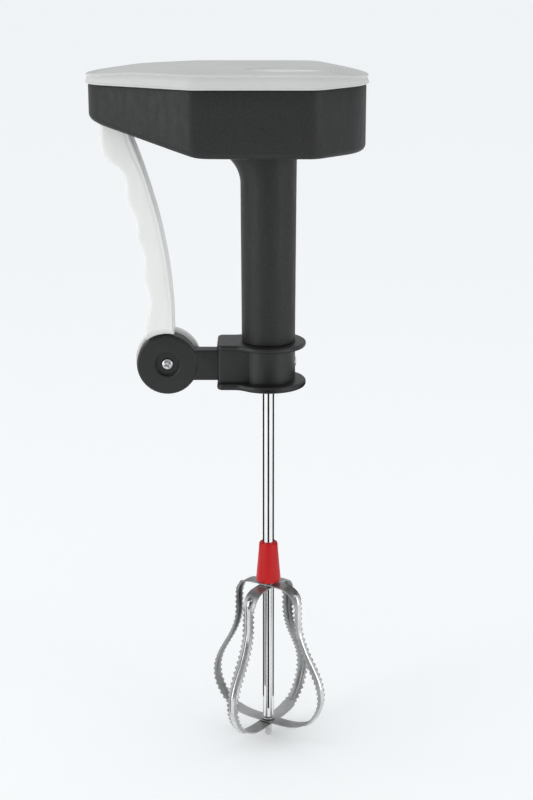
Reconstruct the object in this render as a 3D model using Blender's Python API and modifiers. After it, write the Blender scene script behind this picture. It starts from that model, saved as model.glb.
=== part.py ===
"""Squeeze-lever hand blender: a housing with a tube handle, a hinged lever that drives a whisk.

Squeezing the lever pushes a rack across the housing. The rack turns an idler gear, and the idler
turns the pinion on the whisk shaft. A torsion spring in the hinge brings the lever back.

Sizes below are in millimetres. The origin is the lower end of the whisk shaft, on the shaft's axis:
+Z runs up the shaft, -X points to the lever, +Y to the far side.
"""

import math

import bmesh
import bpy
from mathutils import Matrix, Vector

MM = 0.001
GAP = 0.3            # clearance between pieces that touch or run on each other
ARC_STEP = 12.0      # degrees of arc per straight facet on rounded outlines
SHARP_STEP = 30.0    # the same, on small corners
ROUND_STEPS = 36     # facets on a large turned piece
SMALL_STEPS = 20     # facets on a pin or a bush
SCREW_STEPS = 12
MERGE = 0.00001      # metres

# Housing, seen from above: a hexagon with rounded corners, pointed towards the lever.
HOUSING_HALF_WIDTH = 37.0
NOSE_APEX_X = -106.5     # where the two long tapers would meet
NOSE_RADIUS = 15.5
TAPER_END_X = -37.0
TAPER_RADIUS = 8.0
FACET_START_X = 24.0
FACET_RADIUS = 12.0
BACK_APEX_X = 61.0       # where the two short facets would meet
BACK_RADIUS = 30.7
BODY_BOTTOM = 321.7
SEAM = 354.5
WALL = 2.3
FLOOR = 324.6            # top of the housing's floor, which is thicker than its walls
SLOPE_START_X = -34.0    # the floor is flat behind this and climbs towards the nose in front of it
SLOPE = 0.278
BOTTOM_ROUND = 3.2

# Cover
COVER_OVERHANG = 1.3
COVER_TOP = 362.2
COVER_NOSE_SLOPE = 0.104
COVER_BACK_SLOPE = 0.128
COVER_FLAT_FROM_X = -65.0
COVER_FLAT_TO_X = 25.0
COVER_SKIN = 2.4
COVER_ROUND = 1.4
COVER_LIP = 3.0          # how far the cover's inner lip reaches down past the seam
COVER_LIP_WALL = 1.4
REACH = 100.0            # longer than the housing, for side profiles and cutters
PAST = 1.0               # how far a cutter runs past the face it cuts
LEVER_SLOT = (-85.6, -30.5, 8.9)    # from x, to x, half width
LEVER_SLOT_CORNERS = (2.5, 3.0)     # at its nose end, at its tube end
BOSS_RADIUS = 3.0
COVER_BOSS_RADIUS = 3.2
COVER_BOSS_LIFT = 1.0    # keeps the cover's posts off the sloping floor
COVER_SCREW_HOLE_TOP = 341.0

# Screws: all are self-tapping with pan heads
SCREW_HEAD = 2.8
SCREW_HEAD_HEIGHT = 1.6
SCREW_SHANK = 1.4
SCREW_HOLE = 1.7
SCREW_SINK = 1.2         # how deep a cover screw's head sits in the floor
SCREW_SINK_RADIUS = 3.2
COVER_SCREW_LENGTH = 15.5

# Tube handle
TUBE_TOP_RADIUS = 14.3
TUBE_LOW_RADIUS = 13.7
TUBE_SHOULDER = 224.0
SPIGOT_RADIUS = 11.6
SPIGOT_END = 206.5
TUBE_BORE = 11.3
SPIGOT_BORE = 9.6
BORE_STEP = 232.0
FLARE_LOW = 304.8
FLARE_RADIUS = 17.0
FLARE_TURNS = (15, 30, 45, 60, 70, 80)    # degrees round the fillet, one ring each

# Hinge bracket
PIVOT_X = -52.0
PIVOT_Z = 211.7
BRACKET_LOW = 200.1
BRACKET_TOP = 223.7
LOW_FLANGE = 3.4
TOP_FLANGE = 2.7
FLANGE_RADIUS = 19.3
FLANGE_HALF_WIDTH = 12.5
BRACKET_LEFT = -26.3
SLEEVE_RADIUS = 13.8
BOX_HALF_WIDTH = 9.5
ARM_LOW = 203.3
ARM_TOP = 219.3
ARM_HALF = 4.5
DRUM_RADIUS = 15.7
DRUM_HALF = 5.0
COUNTERBORE_RADIUS = 6.2
COUNTERBORE_DEPTH = 2.6
SPRING_POCKET = (6.2, 11.4)
SPRING_POCKET_FLOOR = -0.3
BRACKET_SCREW_Z = 212.5
BRACKET_SCREW_HOLE = 1.5
BRACKET_SCREW_SINK = 2.9     # radius of its counterbore, one millimetre deep in the sleeve
HUB_RADIUS = 6.5             # collar inside the sleeve that holds the lower bush
HUB_BORE = 5.0
HUB_TOP = 209.0
PIVOT_SCREW_HOLE = 1.9
SLEEVE_SEAT = 1.2            # wall between the counterbore and the pivot sleeve

# Lever
LEVER_HALF = 11.0
LEVER_TOP_HALF = 7.9     # half width at the top, where the body tapers
LEVER_TAPER_Z = (225.0, 340.0)
LEVER_ROUND = 2.6
LEVER_BODY_REACH = 123.0
LEVER_FOOT = [(0.0, 12.0), (21.4, 12.0), (20.4, 10.8), (18.3, 8.6), (16.8, 6.2), (0.0, 6.2)]
CHEEK_Y = (6.7, 8.2)
KNUCKLE_RADIUS = 17.2
KNUCKLE_Y = (5.4, 10.0)
PIVOT_HOLE = 3.9
NUT_RADIUS = 4.6         # across its corners
DRIVE_RADIUS = 129.5     # pivot to drive pin
DRIVE_PIN_X = -76.0
DRIVE_PIN_Z = PIVOT_Z + math.sqrt(DRIVE_RADIUS**2 - (DRIVE_PIN_X - PIVOT_X) ** 2)
DRIVE_PIN_RADIUS = 1.5
DRIVE_PIN_HEAD = 2.6
DRIVE_PIN_TIP = 6.2      # how far it sticks out of the lever's plane, through the rack's head
TONGUE_HALF = 3.0

# Gear train
MODULE = 0.8
PRESSURE = math.radians(25.0)
BACKLASH = 0.3
PINION_TEETH = 12
IDLER_TEETH = 36
PITCH = math.pi * MODULE
PINION_RADIUS = MODULE * PINION_TEETH / 2
IDLER_RADIUS = MODULE * IDLER_TEETH / 2
CENTRES = PINION_RADIUS + IDLER_RADIUS
IDLER_X = -12.0
IDLER_Y = -math.sqrt(CENTRES**2 - IDLER_X**2)
RACK_PITCH_Y = IDLER_Y + PINION_RADIUS
PLATE_LOW = 327.3
PLATE_TOP = 329.3
GEAR_LOW = 330.0
GEAR_TOP = 333.6
RACK_LOW = 337.6
RACK_TOP = 342.0
RACK_BACK_Y = -4.0
RACK_TEETH_FROM_X = -56.0
RACK_TOOTH_COUNT = 20
RACK_END_X = 4.0
RACK_HEAD_HALF = 4.6
RACK_HEAD_Y = (-6.4, -3.4)
RACK_HEAD_Z = (335.9, 344.6)
RACK_SLOT_Z = (337.0, 343.2)
AXLE_RADIUS = 1.5
AXLE_HEAD = 3.0
AXLE_HEAD_HEIGHT = 1.4
AXLE_TOP = 344.2
PLATE_CORNERS = (-28.0, -30.0, 18.0, 30.0)
UPPER_BUSH_RADIUS = 4.9
LOWER_BUSH_RADIUS = 4.7

# Bridge that guides the rack
GUIDE_FROM_X = -24.0
GUIDE_TO_X = 6.0
GUIDE_UNDER = RACK_TOP + 0.8
GUIDE_TOP = RACK_TOP + 2.8
GUIDE_LOW = 335.2
GUIDE_BACK_Y = (-3.6, -2.2)
GUIDE_LIP_Y = -7.6
GUIDE_LEG_HALF = (3.5, 2.8)

# Whisk
SHAFT_RADIUS = 3.0
SHAFT_TOP = 334.4
STUB_RADIUS = 1.85
STUB_TOP = 11.0
SHAFT_STEPS = 24
STOP_RING = (6.0, 211.0, 213.5)      # outer radius, low, high
COLLAR_LOW = 91.0
COLLAR_TOP = 113.0
STRIP = 0.8
STRIP_HALF_WIDTH = 3.9
WASHER_LOW = 9.8         # just above the first loop's bottom strip
BLADE_DROP = 1.1         # the second loop sits this much lower than the first
BLADE_ANGLES = (-34.0, 56.0)


# ---------------------------------------------------------------- shared tools

def clear_scene():
    for obj in list(bpy.data.objects):
        bpy.data.objects.remove(obj, do_unlink=True)


def new_collection(name):
    collection = bpy.data.collections.new(name)
    bpy.context.scene.collection.children.link(collection)
    return collection


def material(name, colour, roughness, metallic=0.0):
    made = bpy.data.materials.new(name)
    made.use_nodes = True
    shader = made.node_tree.nodes["Principled BSDF"]
    shader.inputs["Base Color"].default_value = (*colour, 1.0)
    shader.inputs["Roughness"].default_value = roughness
    shader.inputs["Metallic"].default_value = metallic
    return made


def part(obj, name, finish):
    """Names a finished sub-part, gives it its material and files it with the parts."""
    obj.name = name
    obj.data.name = name
    obj.data.materials.clear()
    obj.data.materials.append(finish)
    PARTS.objects.link(obj)
    return obj


def tool(obj):
    """Files a shape that only cuts or joins other shapes, and hides it."""
    if obj.name not in TOOLS.objects:
        TOOLS.objects.link(obj)
    obj.hide_render = True
    obj.hide_set(True)
    obj.display_type = "WIRE"
    return obj


def combine(obj, other, operation):
    modifier = obj.modifiers.new(operation.lower(), "BOOLEAN")
    modifier.operation = operation
    modifier.object = tool(other)


def cut(obj, *others):
    for other in others:
        combine(obj, other, "DIFFERENCE")


def join(obj, *others):
    for other in others:
        combine(obj, other, "UNION")


def bevel(obj, width, segments=2, angle=40.0):
    modifier = obj.modifiers.new("round", "BEVEL")
    modifier.width = width * MM
    modifier.segments = segments
    modifier.limit_method = "ANGLE"
    modifier.angle_limit = math.radians(angle)


def rounded(corners, step=ARC_STEP):
    """A closed outline through (x, y, radius) corners, each rounded by an arc of its radius."""
    outline = []
    count = len(corners)
    for i, (x, y, radius) in enumerate(corners):
        corner = Vector((x, y))
        before = (Vector(corners[i - 1][:2]) - corner).normalized()
        after = (Vector(corners[(i + 1) % count][:2]) - corner).normalized()
        if radius <= 0:
            outline.append(tuple(corner))
            continue
        half = before.angle(after) / 2
        centre = corner + (before + after).normalized() * radius / math.sin(half)
        first = corner + before * radius / math.tan(half) - centre
        sweep = first.angle_signed(corner + after * radius / math.tan(half) - centre)
        steps = max(1, round(abs(math.degrees(sweep)) / step))
        for k in range(steps + 1):
            turned_point = first.copy()
            turned_point.rotate(Matrix.Rotation(-sweep * k / steps, 2))
            outline.append(tuple(centre + turned_point))
    return outline


def smooth(points, steps=3):
    """Points along a Catmull-Rom curve through the given ones, with its two ends kept."""
    ends = [points[0], *points, points[-1]]
    curve = []
    for a, b, c, d in zip(ends, ends[1:], ends[2:], ends[3:]):
        for k in range(steps):
            t = k / steps
            weights = (
                (2 * t**2 - t - t**3) / 2,
                (2 - 5 * t**2 + 3 * t**3) / 2,
                (t + 4 * t**2 - 3 * t**3) / 2,
                (t**3 - t**2) / 2,
            )
            curve.append(tuple(
                sum(weight * value for weight, value in zip(weights, values))
                for values in zip(a, b, c, d)
            ))
    curve.append(tuple(points[-1]))
    return curve


def mesh_from(obj):
    """Turns an object into a mesh object with its modifiers applied and its caps welded."""
    bpy.context.scene.collection.objects.link(obj)
    bpy.context.view_layer.update()
    depsgraph = bpy.context.evaluated_depsgraph_get()
    mesh = bpy.data.meshes.new_from_object(obj.evaluated_get(depsgraph))
    mesh.transform(obj.matrix_world)
    bpy.data.objects.remove(obj)
    bm = bmesh.new()
    bm.from_mesh(mesh)
    bmesh.ops.remove_doubles(bm, verts=bm.verts, dist=MERGE)
    bmesh.ops.dissolve_limit(bm, angle_limit=0.001, verts=bm.verts, edges=bm.edges)
    bmesh.ops.recalc_face_normals(bm, faces=bm.faces)
    bm.to_mesh(mesh)
    bm.free()
    return bpy.data.objects.new("shape", mesh)


def slab(outlines, low, high, along="Z"):
    """A flat outline, or several with holes, made solid from low to high along Z, Y or X.

    An outline is in (x, y) along Z, in (x, z) along Y and in (y, z) along X."""
    curve = bpy.data.curves.new("outline", "CURVE")
    curve.dimensions = "2D"
    curve.fill_mode = "BOTH"
    curve.extrude = (high - low) / 2 * MM
    for outline in outlines:
        spline = curve.splines.new("POLY")
        spline.points.add(len(outline) - 1)
        spline.use_cyclic_u = True
        for point, (x, y) in zip(spline.points, outline):
            point.co = (x * MM, y * MM, 0.0, 1.0)
    obj = bpy.data.objects.new("outline", curve)
    middle = (low + high) / 2 * MM
    if along == "Z":
        obj.matrix_world = Matrix.Translation((0, 0, middle))
    elif along == "Y":
        obj.matrix_world = Matrix.Translation((0, middle, 0)) @ Matrix.Rotation(math.pi / 2, 4, "X")
    else:
        turn = Matrix(((0, 0, 1, 0), (1, 0, 0, 0), (0, 1, 0, 0), (0, 0, 0, 1)))
        obj.matrix_world = Matrix.Translation((middle, 0, 0)) @ turn
    return mesh_from(obj)


def circle(x, y, radius, steps=ROUND_STEPS):
    turns = [2 * math.pi * k / steps for k in range(steps)]
    return [(x + radius * math.cos(a), y + radius * math.sin(a)) for a in turns]


def rectangle(x0, y0, x1, y1):
    return [(x0, y0), (x1, y0), (x1, y1), (x0, y1)]


def disc(x, y, radius, low, high, along="Z", steps=SMALL_STEPS):
    return slab([circle(x, y, radius, steps)], low, high, along)


def turned(profile, steps=SMALL_STEPS, x=0.0, y=0.0, axis="Z", z=0.0):
    """A turned solid from (radius, height) points, top to bottom down the outer side.

    Height runs from (x, y, z) up Z, or along X or -Y for a piece that lies down.
    A profile that starts and ends at radius 0 is solid; any other is closed round its bore."""
    mesh = bpy.data.meshes.new("profile")
    points = [(r * MM, 0.0, h * MM) for r, h in profile]
    edges = [(i, i + 1) for i in range(len(points) - 1)]
    if profile[0][0] > 0:
        edges.append((len(points) - 1, 0))
    mesh.from_pydata(points, edges, [])
    obj = bpy.data.objects.new("profile", mesh)
    screw = obj.modifiers.new("turn", "SCREW")
    screw.steps = steps
    screw.render_steps = steps
    screw.use_merge_vertices = True
    screw.merge_threshold = MERGE
    place = Matrix.Translation((x * MM, y * MM, z * MM))
    if axis == "-Y":
        place = place @ Matrix.Rotation(math.pi / 2, 4, "X")
    if axis == "X":
        place = place @ Matrix.Rotation(math.pi / 2, 4, "Y")
    obj.matrix_world = place
    return mesh_from(obj)


def loft(rings):
    """Skins rings of points, each with the same count, and caps the two ends."""
    bm = bmesh.new()
    rows = [[bm.verts.new(Vector(p) * MM) for p in ring] for ring in rings]
    for lower, upper in zip(rows, rows[1:]):
        for i in range(len(lower)):
            j = (i + 1) % len(lower)
            bm.faces.new((lower[i], lower[j], upper[j], upper[i]))
    bm.faces.new(rows[0][::-1])
    bm.faces.new(rows[-1])
    bmesh.ops.recalc_face_normals(bm, faces=bm.faces)
    mesh = bpy.data.meshes.new("loft")
    bm.to_mesh(mesh)
    bm.free()
    return bpy.data.objects.new("shape", mesh)


def screw_profile(head_radius, head_top, head_low, shank_radius, shank_end):
    """Pan-head screw pointing down: domed head, plain shank, short conical end."""
    rise = (head_top - head_low) * 0.35
    return [
        (0.0, head_top),
        (head_radius * 0.7, head_top),
        (head_radius, head_top - rise),
        (head_radius, head_low),
        (shank_radius, head_low),
        (shank_radius, shank_end + shank_radius),
        (shank_radius * 0.4, shank_end),
        (0.0, shank_end),
    ]


def ride_on(pieces, x, y, z, name):
    """Hangs pieces, where they stand, on an empty that lies on their joint's axis."""
    empty = bpy.data.objects.new(name, None)
    empty.location = (x * MM, y * MM, z * MM)
    PARTS.objects.link(empty)
    bpy.context.view_layer.update()
    for piece in pieces:
        piece.parent = empty
        piece.matrix_parent_inverse = empty.matrix_world.inverted()


# ---------------------------------------------------------------- housing and cover

def housing_outline(grow=0.0):
    """The housing from above, grown or shrunk evenly all round."""
    taper = math.atan2(HOUSING_HALF_WIDTH, TAPER_END_X - NOSE_APEX_X)
    facet = math.atan2(HOUSING_HALF_WIDTH, BACK_APEX_X - FACET_START_X)
    half = HOUSING_HALF_WIDTH + grow
    nose = NOSE_APEX_X - grow / math.sin(taper)
    back = BACK_APEX_X + grow / math.sin(facet)
    taper_x = TAPER_END_X - grow * math.tan(taper / 2)
    facet_x = FACET_START_X + grow * math.tan(facet / 2)
    return rounded([
        (nose, 0.0, NOSE_RADIUS + grow),
        (taper_x, -half, TAPER_RADIUS + grow),
        (facet_x, -half, FACET_RADIUS + grow),
        (back, 0.0, BACK_RADIUS + grow),
        (facet_x, half, FACET_RADIUS + grow),
        (taper_x, half, TAPER_RADIUS + grow),
    ])


def floor_side(level, top):
    """Side view of the space above a floor that is flat at the back and climbs to the nose."""
    climb = level + (REACH + SLOPE_START_X) * SLOPE
    return [(-REACH, climb), (SLOPE_START_X, level), (REACH, level), (REACH, top), (-REACH, top)]


def tube_shape():
    """The tube handle, with a large fillet on the lever side where it runs into the housing."""
    rings = []
    heights = [SPIGOT_END, TUBE_SHOULDER - 0.001, TUBE_SHOULDER, FLARE_LOW]
    radii = [SPIGOT_RADIUS, SPIGOT_RADIUS, TUBE_LOW_RADIUS, TUBE_TOP_RADIUS - 0.2]
    for z, radius in zip(heights, radii):
        rings.append([(x, y, z) for x, y in circle(0, 0, radius)])
    for turn in FLARE_TURNS:
        swell = FLARE_RADIUS * (1 - math.cos(math.radians(turn)))
        z = FLARE_LOW + FLARE_RADIUS * math.sin(math.radians(turn))
        round_ring = circle(0, 0, TUBE_TOP_RADIUS)
        rings.append([(x + swell * min(0.0, x / TUBE_TOP_RADIUS), y, z) for x, y in round_ring])
    rings.append([(x, y, FLOOR) for x, y, _ in rings[-1]])
    return loft(rings)


def boss_places():
    """Where the screws stand that hold the gear plate."""
    return [(-24.0, 26.0), (14.0, 26.0), (14.0, -26.0), (-24.6, 5.5)]


def cover_screw_places():
    return [(-33.0, 28.0), (24.5, 27.0), (24.5, -27.0), (-33.0, -28.0)]


def gear_housing():
    below = BODY_BOTTOM - 5 * PAST
    above = SEAM + 8 * PAST
    body = slab([housing_outline()], below, above + PAST)
    side = slab([floor_side(BODY_BOTTOM, above)], -REACH, REACH, along="Y")
    combine(body, side, "INTERSECT")
    bevel(body, BOTTOM_ROUND, segments=3)
    cut(body, slab([rectangle(-REACH, -REACH, REACH, REACH)], SEAM, above + 2 * PAST))
    join(body, tube_shape())
    cavity = slab([housing_outline(-WALL)], below, above + PAST)
    combine(cavity, slab([floor_side(FLOOR, above)], -REACH, REACH, along="Y"), "INTERSECT")
    cut(body, cavity)
    bore = turned([
        (0.0, FLOOR + PAST), (TUBE_BORE, FLOOR + PAST), (TUBE_BORE, BORE_STEP),
        (SPIGOT_BORE, BORE_STEP - 1.7), (SPIGOT_BORE, SPIGOT_END - PAST), (0.0, SPIGOT_END - PAST),
    ], ROUND_STEPS)
    slot_from, slot_to, slot_half = LEVER_SLOT
    nose_corner, tube_corner = LEVER_SLOT_CORNERS
    slot = slab([rounded([
        (slot_from, -slot_half, nose_corner), (slot_to, -slot_half, tube_corner),
        (slot_to, slot_half, tube_corner), (slot_from, slot_half, nose_corner),
    ])], below, SEAM - 12)
    cut(body, bore, slot)
    for x, y in boss_places():
        join(body, disc(x, y, BOSS_RADIUS, FLOOR - PAST, PLATE_LOW - GAP, steps=16))
        cut(body, disc(x, y, SCREW_HOLE, FLOOR - 0.8, PLATE_LOW + PAST, steps=12))
    for x, y in cover_screw_places():
        cut(body, disc(x, y, SCREW_HOLE, BODY_BOTTOM - PAST, FLOOR + PAST, steps=12))
        cut(body, disc(x, y, SCREW_SINK_RADIUS, BODY_BOTTOM - PAST, BODY_BOTTOM + SCREW_SINK, steps=16))
    pilot = disc(0, BRACKET_SCREW_Z, BRACKET_SCREW_HOLE, 5.0, SPIGOT_RADIUS + PAST, along="X", steps=12)
    cut(body, pilot)
    return part(body, "gear_housing", BLACK_PLASTIC)


def top_cover():
    nose_drop = COVER_NOSE_SLOPE * (COVER_FLAT_FROM_X + REACH)
    back_drop = COVER_BACK_SLOPE * (REACH - COVER_FLAT_TO_X)
    side = [
        (-REACH, COVER_TOP - nose_drop), (COVER_FLAT_FROM_X, COVER_TOP),
        (COVER_FLAT_TO_X, COVER_TOP), (REACH, COVER_TOP - back_drop),
    ]
    low = SEAM + GAP
    below = low - 6 * PAST
    above = COVER_TOP + 5 * PAST
    body = slab([housing_outline(COVER_OVERHANG)], below, above)
    outside = [*side, (REACH, low - 3), (-REACH, low - 3)]
    combine(body, slab([outside], -REACH, REACH, along="Y"), "INTERSECT")
    bevel(body, COVER_ROUND)
    cut(body, slab([rectangle(-REACH, -REACH, REACH, REACH)], below, low))
    join(body, slab([housing_outline(-WALL - GAP)], SEAM - COVER_LIP, SEAM + 2.0))
    hollow = slab([housing_outline(-WALL - GAP - COVER_LIP_WALL)], below, above)
    under = [(x, z - COVER_SKIN) for x, z in side]
    inside = [*under, (REACH, below - PAST), (-REACH, below - PAST)]
    combine(hollow, slab([inside], -REACH, REACH, along="Y"), "INTERSECT")
    cut(body, hollow)
    for x, y in cover_screw_places():
        join(body, disc(x, y, COVER_BOSS_RADIUS, FLOOR + COVER_BOSS_LIFT, COVER_TOP - 1, steps=16))
        cut(body, disc(x, y, SCREW_HOLE, FLOOR - PAST, COVER_SCREW_HOLE_TOP, steps=12))
    return part(body, "top_cover", PALE_PLASTIC)


def cover_screws():
    screws = []
    for i, (x, y) in enumerate(cover_screw_places(), 1):
        profile = screw_profile(SCREW_HEAD, SCREW_SINK, 0.0, SCREW_SHANK, -COVER_SCREW_LENGTH)
        flipped = [(r, -h) for r, h in reversed(profile)]
        screw = turned(flipped, SCREW_STEPS, x, y, z=BODY_BOTTOM + SCREW_SINK - GAP)
        screws.append(part(screw, f"cover_screw_{i}", STEEL))
    return screws


# ---------------------------------------------------------------- gear train

def gear_outline(teeth, phase):
    """Involute teeth with a tooth centred at the angle phase, thinned for backlash."""
    radius = MODULE * teeth / 2
    base = radius * math.cos(PRESSURE)
    tip = radius + MODULE
    root = radius - 1.2 * MODULE
    at_pitch = (PITCH / 2 - BACKLASH / 2) / (2 * radius) + math.tan(PRESSURE) - PRESSURE

    def half_angle(r):
        turn = math.acos(min(1.0, base / r))
        return at_pitch - (math.tan(turn) - turn)

    low = max(base, root)
    flank = [low + (tip - low) * k / 2 for k in range(3)]
    reach = [(r, half_angle(r)) for r in flank]
    if root < base:
        reach.insert(0, (root, half_angle(base)))
    outline = []
    for k in range(teeth):
        centre = phase + 2 * math.pi * k / teeth
        rising = [(r, centre - a) for r, a in reach]
        falling = [(r, centre + a) for r, a in reversed(reach)]
        outline += [(r * math.cos(a), r * math.sin(a)) for r, a in rising + falling]
    return outline


def moved(outline, x, y):
    return [(px + x, py + y) for px, py in outline]


def to_shaft():
    """Direction from the idler's axis to the shaft's."""
    return math.atan2(-IDLER_Y, -IDLER_X)


def idler_gear():
    large_outline = moved(gear_outline(IDLER_TEETH, to_shaft()), IDLER_X, IDLER_Y)
    small_outline = moved(gear_outline(PINION_TEETH, math.pi / 2), IDLER_X, IDLER_Y)
    gear = slab([large_outline], GEAR_LOW, GEAR_TOP)
    join(gear, slab([small_outline], GEAR_LOW + 1, RACK_TOP + 0.2))
    cut(gear, disc(IDLER_X, IDLER_Y, AXLE_RADIUS + GAP, GEAR_LOW - PAST, RACK_TOP + 2 * PAST))
    return part(gear, "idler_gear", GEAR_PLASTIC)


def shaft_pinion():
    phase = to_shaft() + math.pi + math.pi / PINION_TEETH
    pinion = slab([gear_outline(PINION_TEETH, phase)], GEAR_LOW, GEAR_TOP)
    cut(pinion, disc(0, 0, SHAFT_RADIUS + GAP, GEAR_LOW - 1, GEAR_TOP + 1))
    return part(pinion, "shaft_pinion", BRASS)


def upright_plate(half, levels, radius):
    """A rounded outline in (x, z) round the drive pin's line, between two levels."""
    low, high = levels
    left = DRIVE_PIN_X - half
    right = DRIVE_PIN_X + half
    return rounded([(left, low, radius), (right, low, radius), (right, high, radius), (left, high, radius)],
                   SHARP_STEP)


def drive_rack():
    """A toothed bar with a slotted head that the lever's pin pushes along."""
    tip = RACK_PITCH_Y - MODULE
    root = RACK_PITCH_Y + 1.2 * MODULE
    base = root + 0.5
    lean = math.tan(PRESSURE)
    half = (PITCH - BACKLASH) / 4
    at_base = half + (base - RACK_PITCH_Y) * lean
    at_tip = half - (RACK_PITCH_Y - tip) * lean
    first = IDLER_X - (math.floor((IDLER_X - RACK_TEETH_FROM_X) / PITCH) - 0.5) * PITCH
    teeth = []
    for k in range(RACK_TOOTH_COUNT):
        x = first + k * PITCH
        teeth.append([(x - at_base, base), (x - at_tip, tip), (x + at_tip, tip), (x + at_base, base)])
    bar = slab([rectangle(DRIVE_PIN_X - 4.0, root, RACK_END_X, RACK_BACK_Y)], RACK_LOW, RACK_TOP)
    join(bar, slab(teeth, RACK_LOW, RACK_TOP))
    head = upright_plate(RACK_HEAD_HALF, RACK_HEAD_Z, 1.5)
    join(bar, slab([head], *RACK_HEAD_Y, along="Y"))
    slot_half = DRIVE_PIN_RADIUS + 0.2
    slot = upright_plate(slot_half, RACK_SLOT_Z, slot_half * 0.99)
    cut(bar, slab([slot], -REACH, REACH, along="Y"))
    return part(bar, "drive_rack", GEAR_PLASTIC)


def gear_plate():
    outline = rounded([(x, y, 4.0) for x, y in rectangle(*PLATE_CORNERS)], SHARP_STEP)
    holes = [
        circle(0, 0, UPPER_BUSH_RADIUS + GAP, SMALL_STEPS),
        circle(IDLER_X, IDLER_Y, AXLE_RADIUS + GAP, SMALL_STEPS),
    ]
    holes += [circle(x, y, SCREW_HOLE, SCREW_STEPS) for x, y in boss_places()]
    plate = slab([outline, *holes], PLATE_LOW, PLATE_TOP)
    return part(plate, "gear_plate", STEEL)


def plate_screws():
    screws = []
    for i, (x, y) in enumerate(boss_places(), 1):
        seat = PLATE_TOP + GAP
        profile = screw_profile(SCREW_HEAD, seat + SCREW_HEAD_HEIGHT, seat, SCREW_SHANK, FLOOR - 0.4)
        screw = turned(profile, SCREW_STEPS, x, y)
        screws.append(part(screw, f"plate_screw_{i}", STEEL))
    return screws


def idler_axle():
    head = PLATE_LOW - GAP
    profile = [
        (0.0, AXLE_TOP), (AXLE_RADIUS - 0.3, AXLE_TOP), (AXLE_RADIUS, AXLE_TOP - 0.4), (AXLE_RADIUS, head),
        (AXLE_HEAD, head), (AXLE_HEAD, head - AXLE_HEAD_HEIGHT), (0.0, head - AXLE_HEAD_HEIGHT),
    ]
    return part(turned(profile, SMALL_STEPS, IDLER_X, IDLER_Y), "idler_axle", STEEL)


def guide_leg_places():
    return [(-18.0, 12.0), (2.0, 12.0)]


def rack_guide():
    """A bridge over the gears: it backs the rack, carries it from below and holds the axle's top."""
    inside = GUIDE_UNDER + 0.7
    front, rear = GUIDE_BACK_Y
    top = slab([rectangle(GUIDE_FROM_X, -19.5, GUIDE_TO_X, 15.0)], GUIDE_UNDER, GUIDE_TOP)
    back = slab([rectangle(front, GUIDE_LOW, rear, inside)], GUIDE_FROM_X, GUIDE_TO_X, along="X")
    under_rack = rectangle(GUIDE_LIP_Y, GUIDE_LOW, rear, RACK_LOW - GAP)
    lip = slab([under_rack], GUIDE_FROM_X, GUIDE_TO_X, along="X")
    join(top, back, lip)
    half_x, half_y = GUIDE_LEG_HALF
    for x, y in guide_leg_places():
        leg = rectangle(x - half_x, y - half_y, x + half_x, y + half_y)
        join(top, slab([leg], PLATE_TOP + GAP, inside))
        cut(top, disc(x, y, SCREW_HOLE, 331.0, GUIDE_TOP + PAST, steps=SCREW_STEPS))
    cut(top, disc(IDLER_X, IDLER_Y, AXLE_RADIUS + GAP, RACK_TOP, GUIDE_TOP + PAST))
    return part(top, "rack_guide", GEAR_PLASTIC)


def guide_screws():
    screws = []
    for i, (x, y) in enumerate(guide_leg_places(), 1):
        seat = GUIDE_TOP + GAP
        profile = screw_profile(SCREW_HEAD, seat + SCREW_HEAD_HEIGHT, seat, SCREW_SHANK, 332.0)
        screw = turned(profile, SCREW_STEPS, x, y)
        screws.append(part(screw, f"guide_screw_{i}", STEEL))
    return screws


# ---------------------------------------------------------------- shaft and whisk

def whisk_shaft():
    profile = [
        (0.0, SHAFT_TOP), (2.6, SHAFT_TOP), (SHAFT_RADIUS, SHAFT_TOP - 0.4), (SHAFT_RADIUS, STUB_TOP),
        (STUB_RADIUS, STUB_TOP), (STUB_RADIUS, 0.3), (STUB_RADIUS - 0.3, 0.0), (0.0, 0.0),
    ]
    return part(turned(profile, SHAFT_STEPS), "whisk_shaft", POLISHED_STEEL)


def ring(inner, outer, low, high, steps):
    return turned([(outer, high), (outer, low), (inner, low), (inner, high)], steps)


def shaft_bushes():
    """Two flanged bushes: one in the gear plate, one in the bracket's hub."""
    bore = SHAFT_RADIUS + GAP
    top = PLATE_TOP + GAP
    under = PLATE_LOW - GAP
    upper = turned([
        (UPPER_BUSH_RADIUS, top), (UPPER_BUSH_RADIUS, under), (6.8, under), (6.8, under - 1.4),
        (bore, under - 1.4), (bore, top),
    ], SHAFT_STEPS)
    seat = HUB_TOP + GAP
    lower = turned([
        (6.3, seat + 1.2), (6.3, seat), (LOWER_BUSH_RADIUS, seat), (LOWER_BUSH_RADIUS, BRACKET_LOW + 0.9),
        (bore, BRACKET_LOW + 0.9), (bore, seat + 1.2),
    ], SHAFT_STEPS)
    return part(upper, "upper_bush", BRASS), part(lower, "lower_bush", BRASS)


def shaft_stop_ring():
    return part(ring(SHAFT_RADIUS + GAP, *STOP_RING, SHAFT_STEPS), "shaft_stop_ring", BRASS)


def whisk_collar():
    bore = SHAFT_RADIUS + GAP
    profile = [
        (4.2, COLLAR_TOP), (4.7, COLLAR_TOP - 0.6), (4.95, COLLAR_TOP - 1.8), (6.55, COLLAR_LOW + 1.6),
        (6.5, COLLAR_LOW + 0.5), (5.9, COLLAR_LOW), (bore, COLLAR_LOW), (bore, COLLAR_TOP),
    ]
    return part(turned(profile, SHAFT_STEPS), "whisk_collar", RED_PLASTIC)


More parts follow.
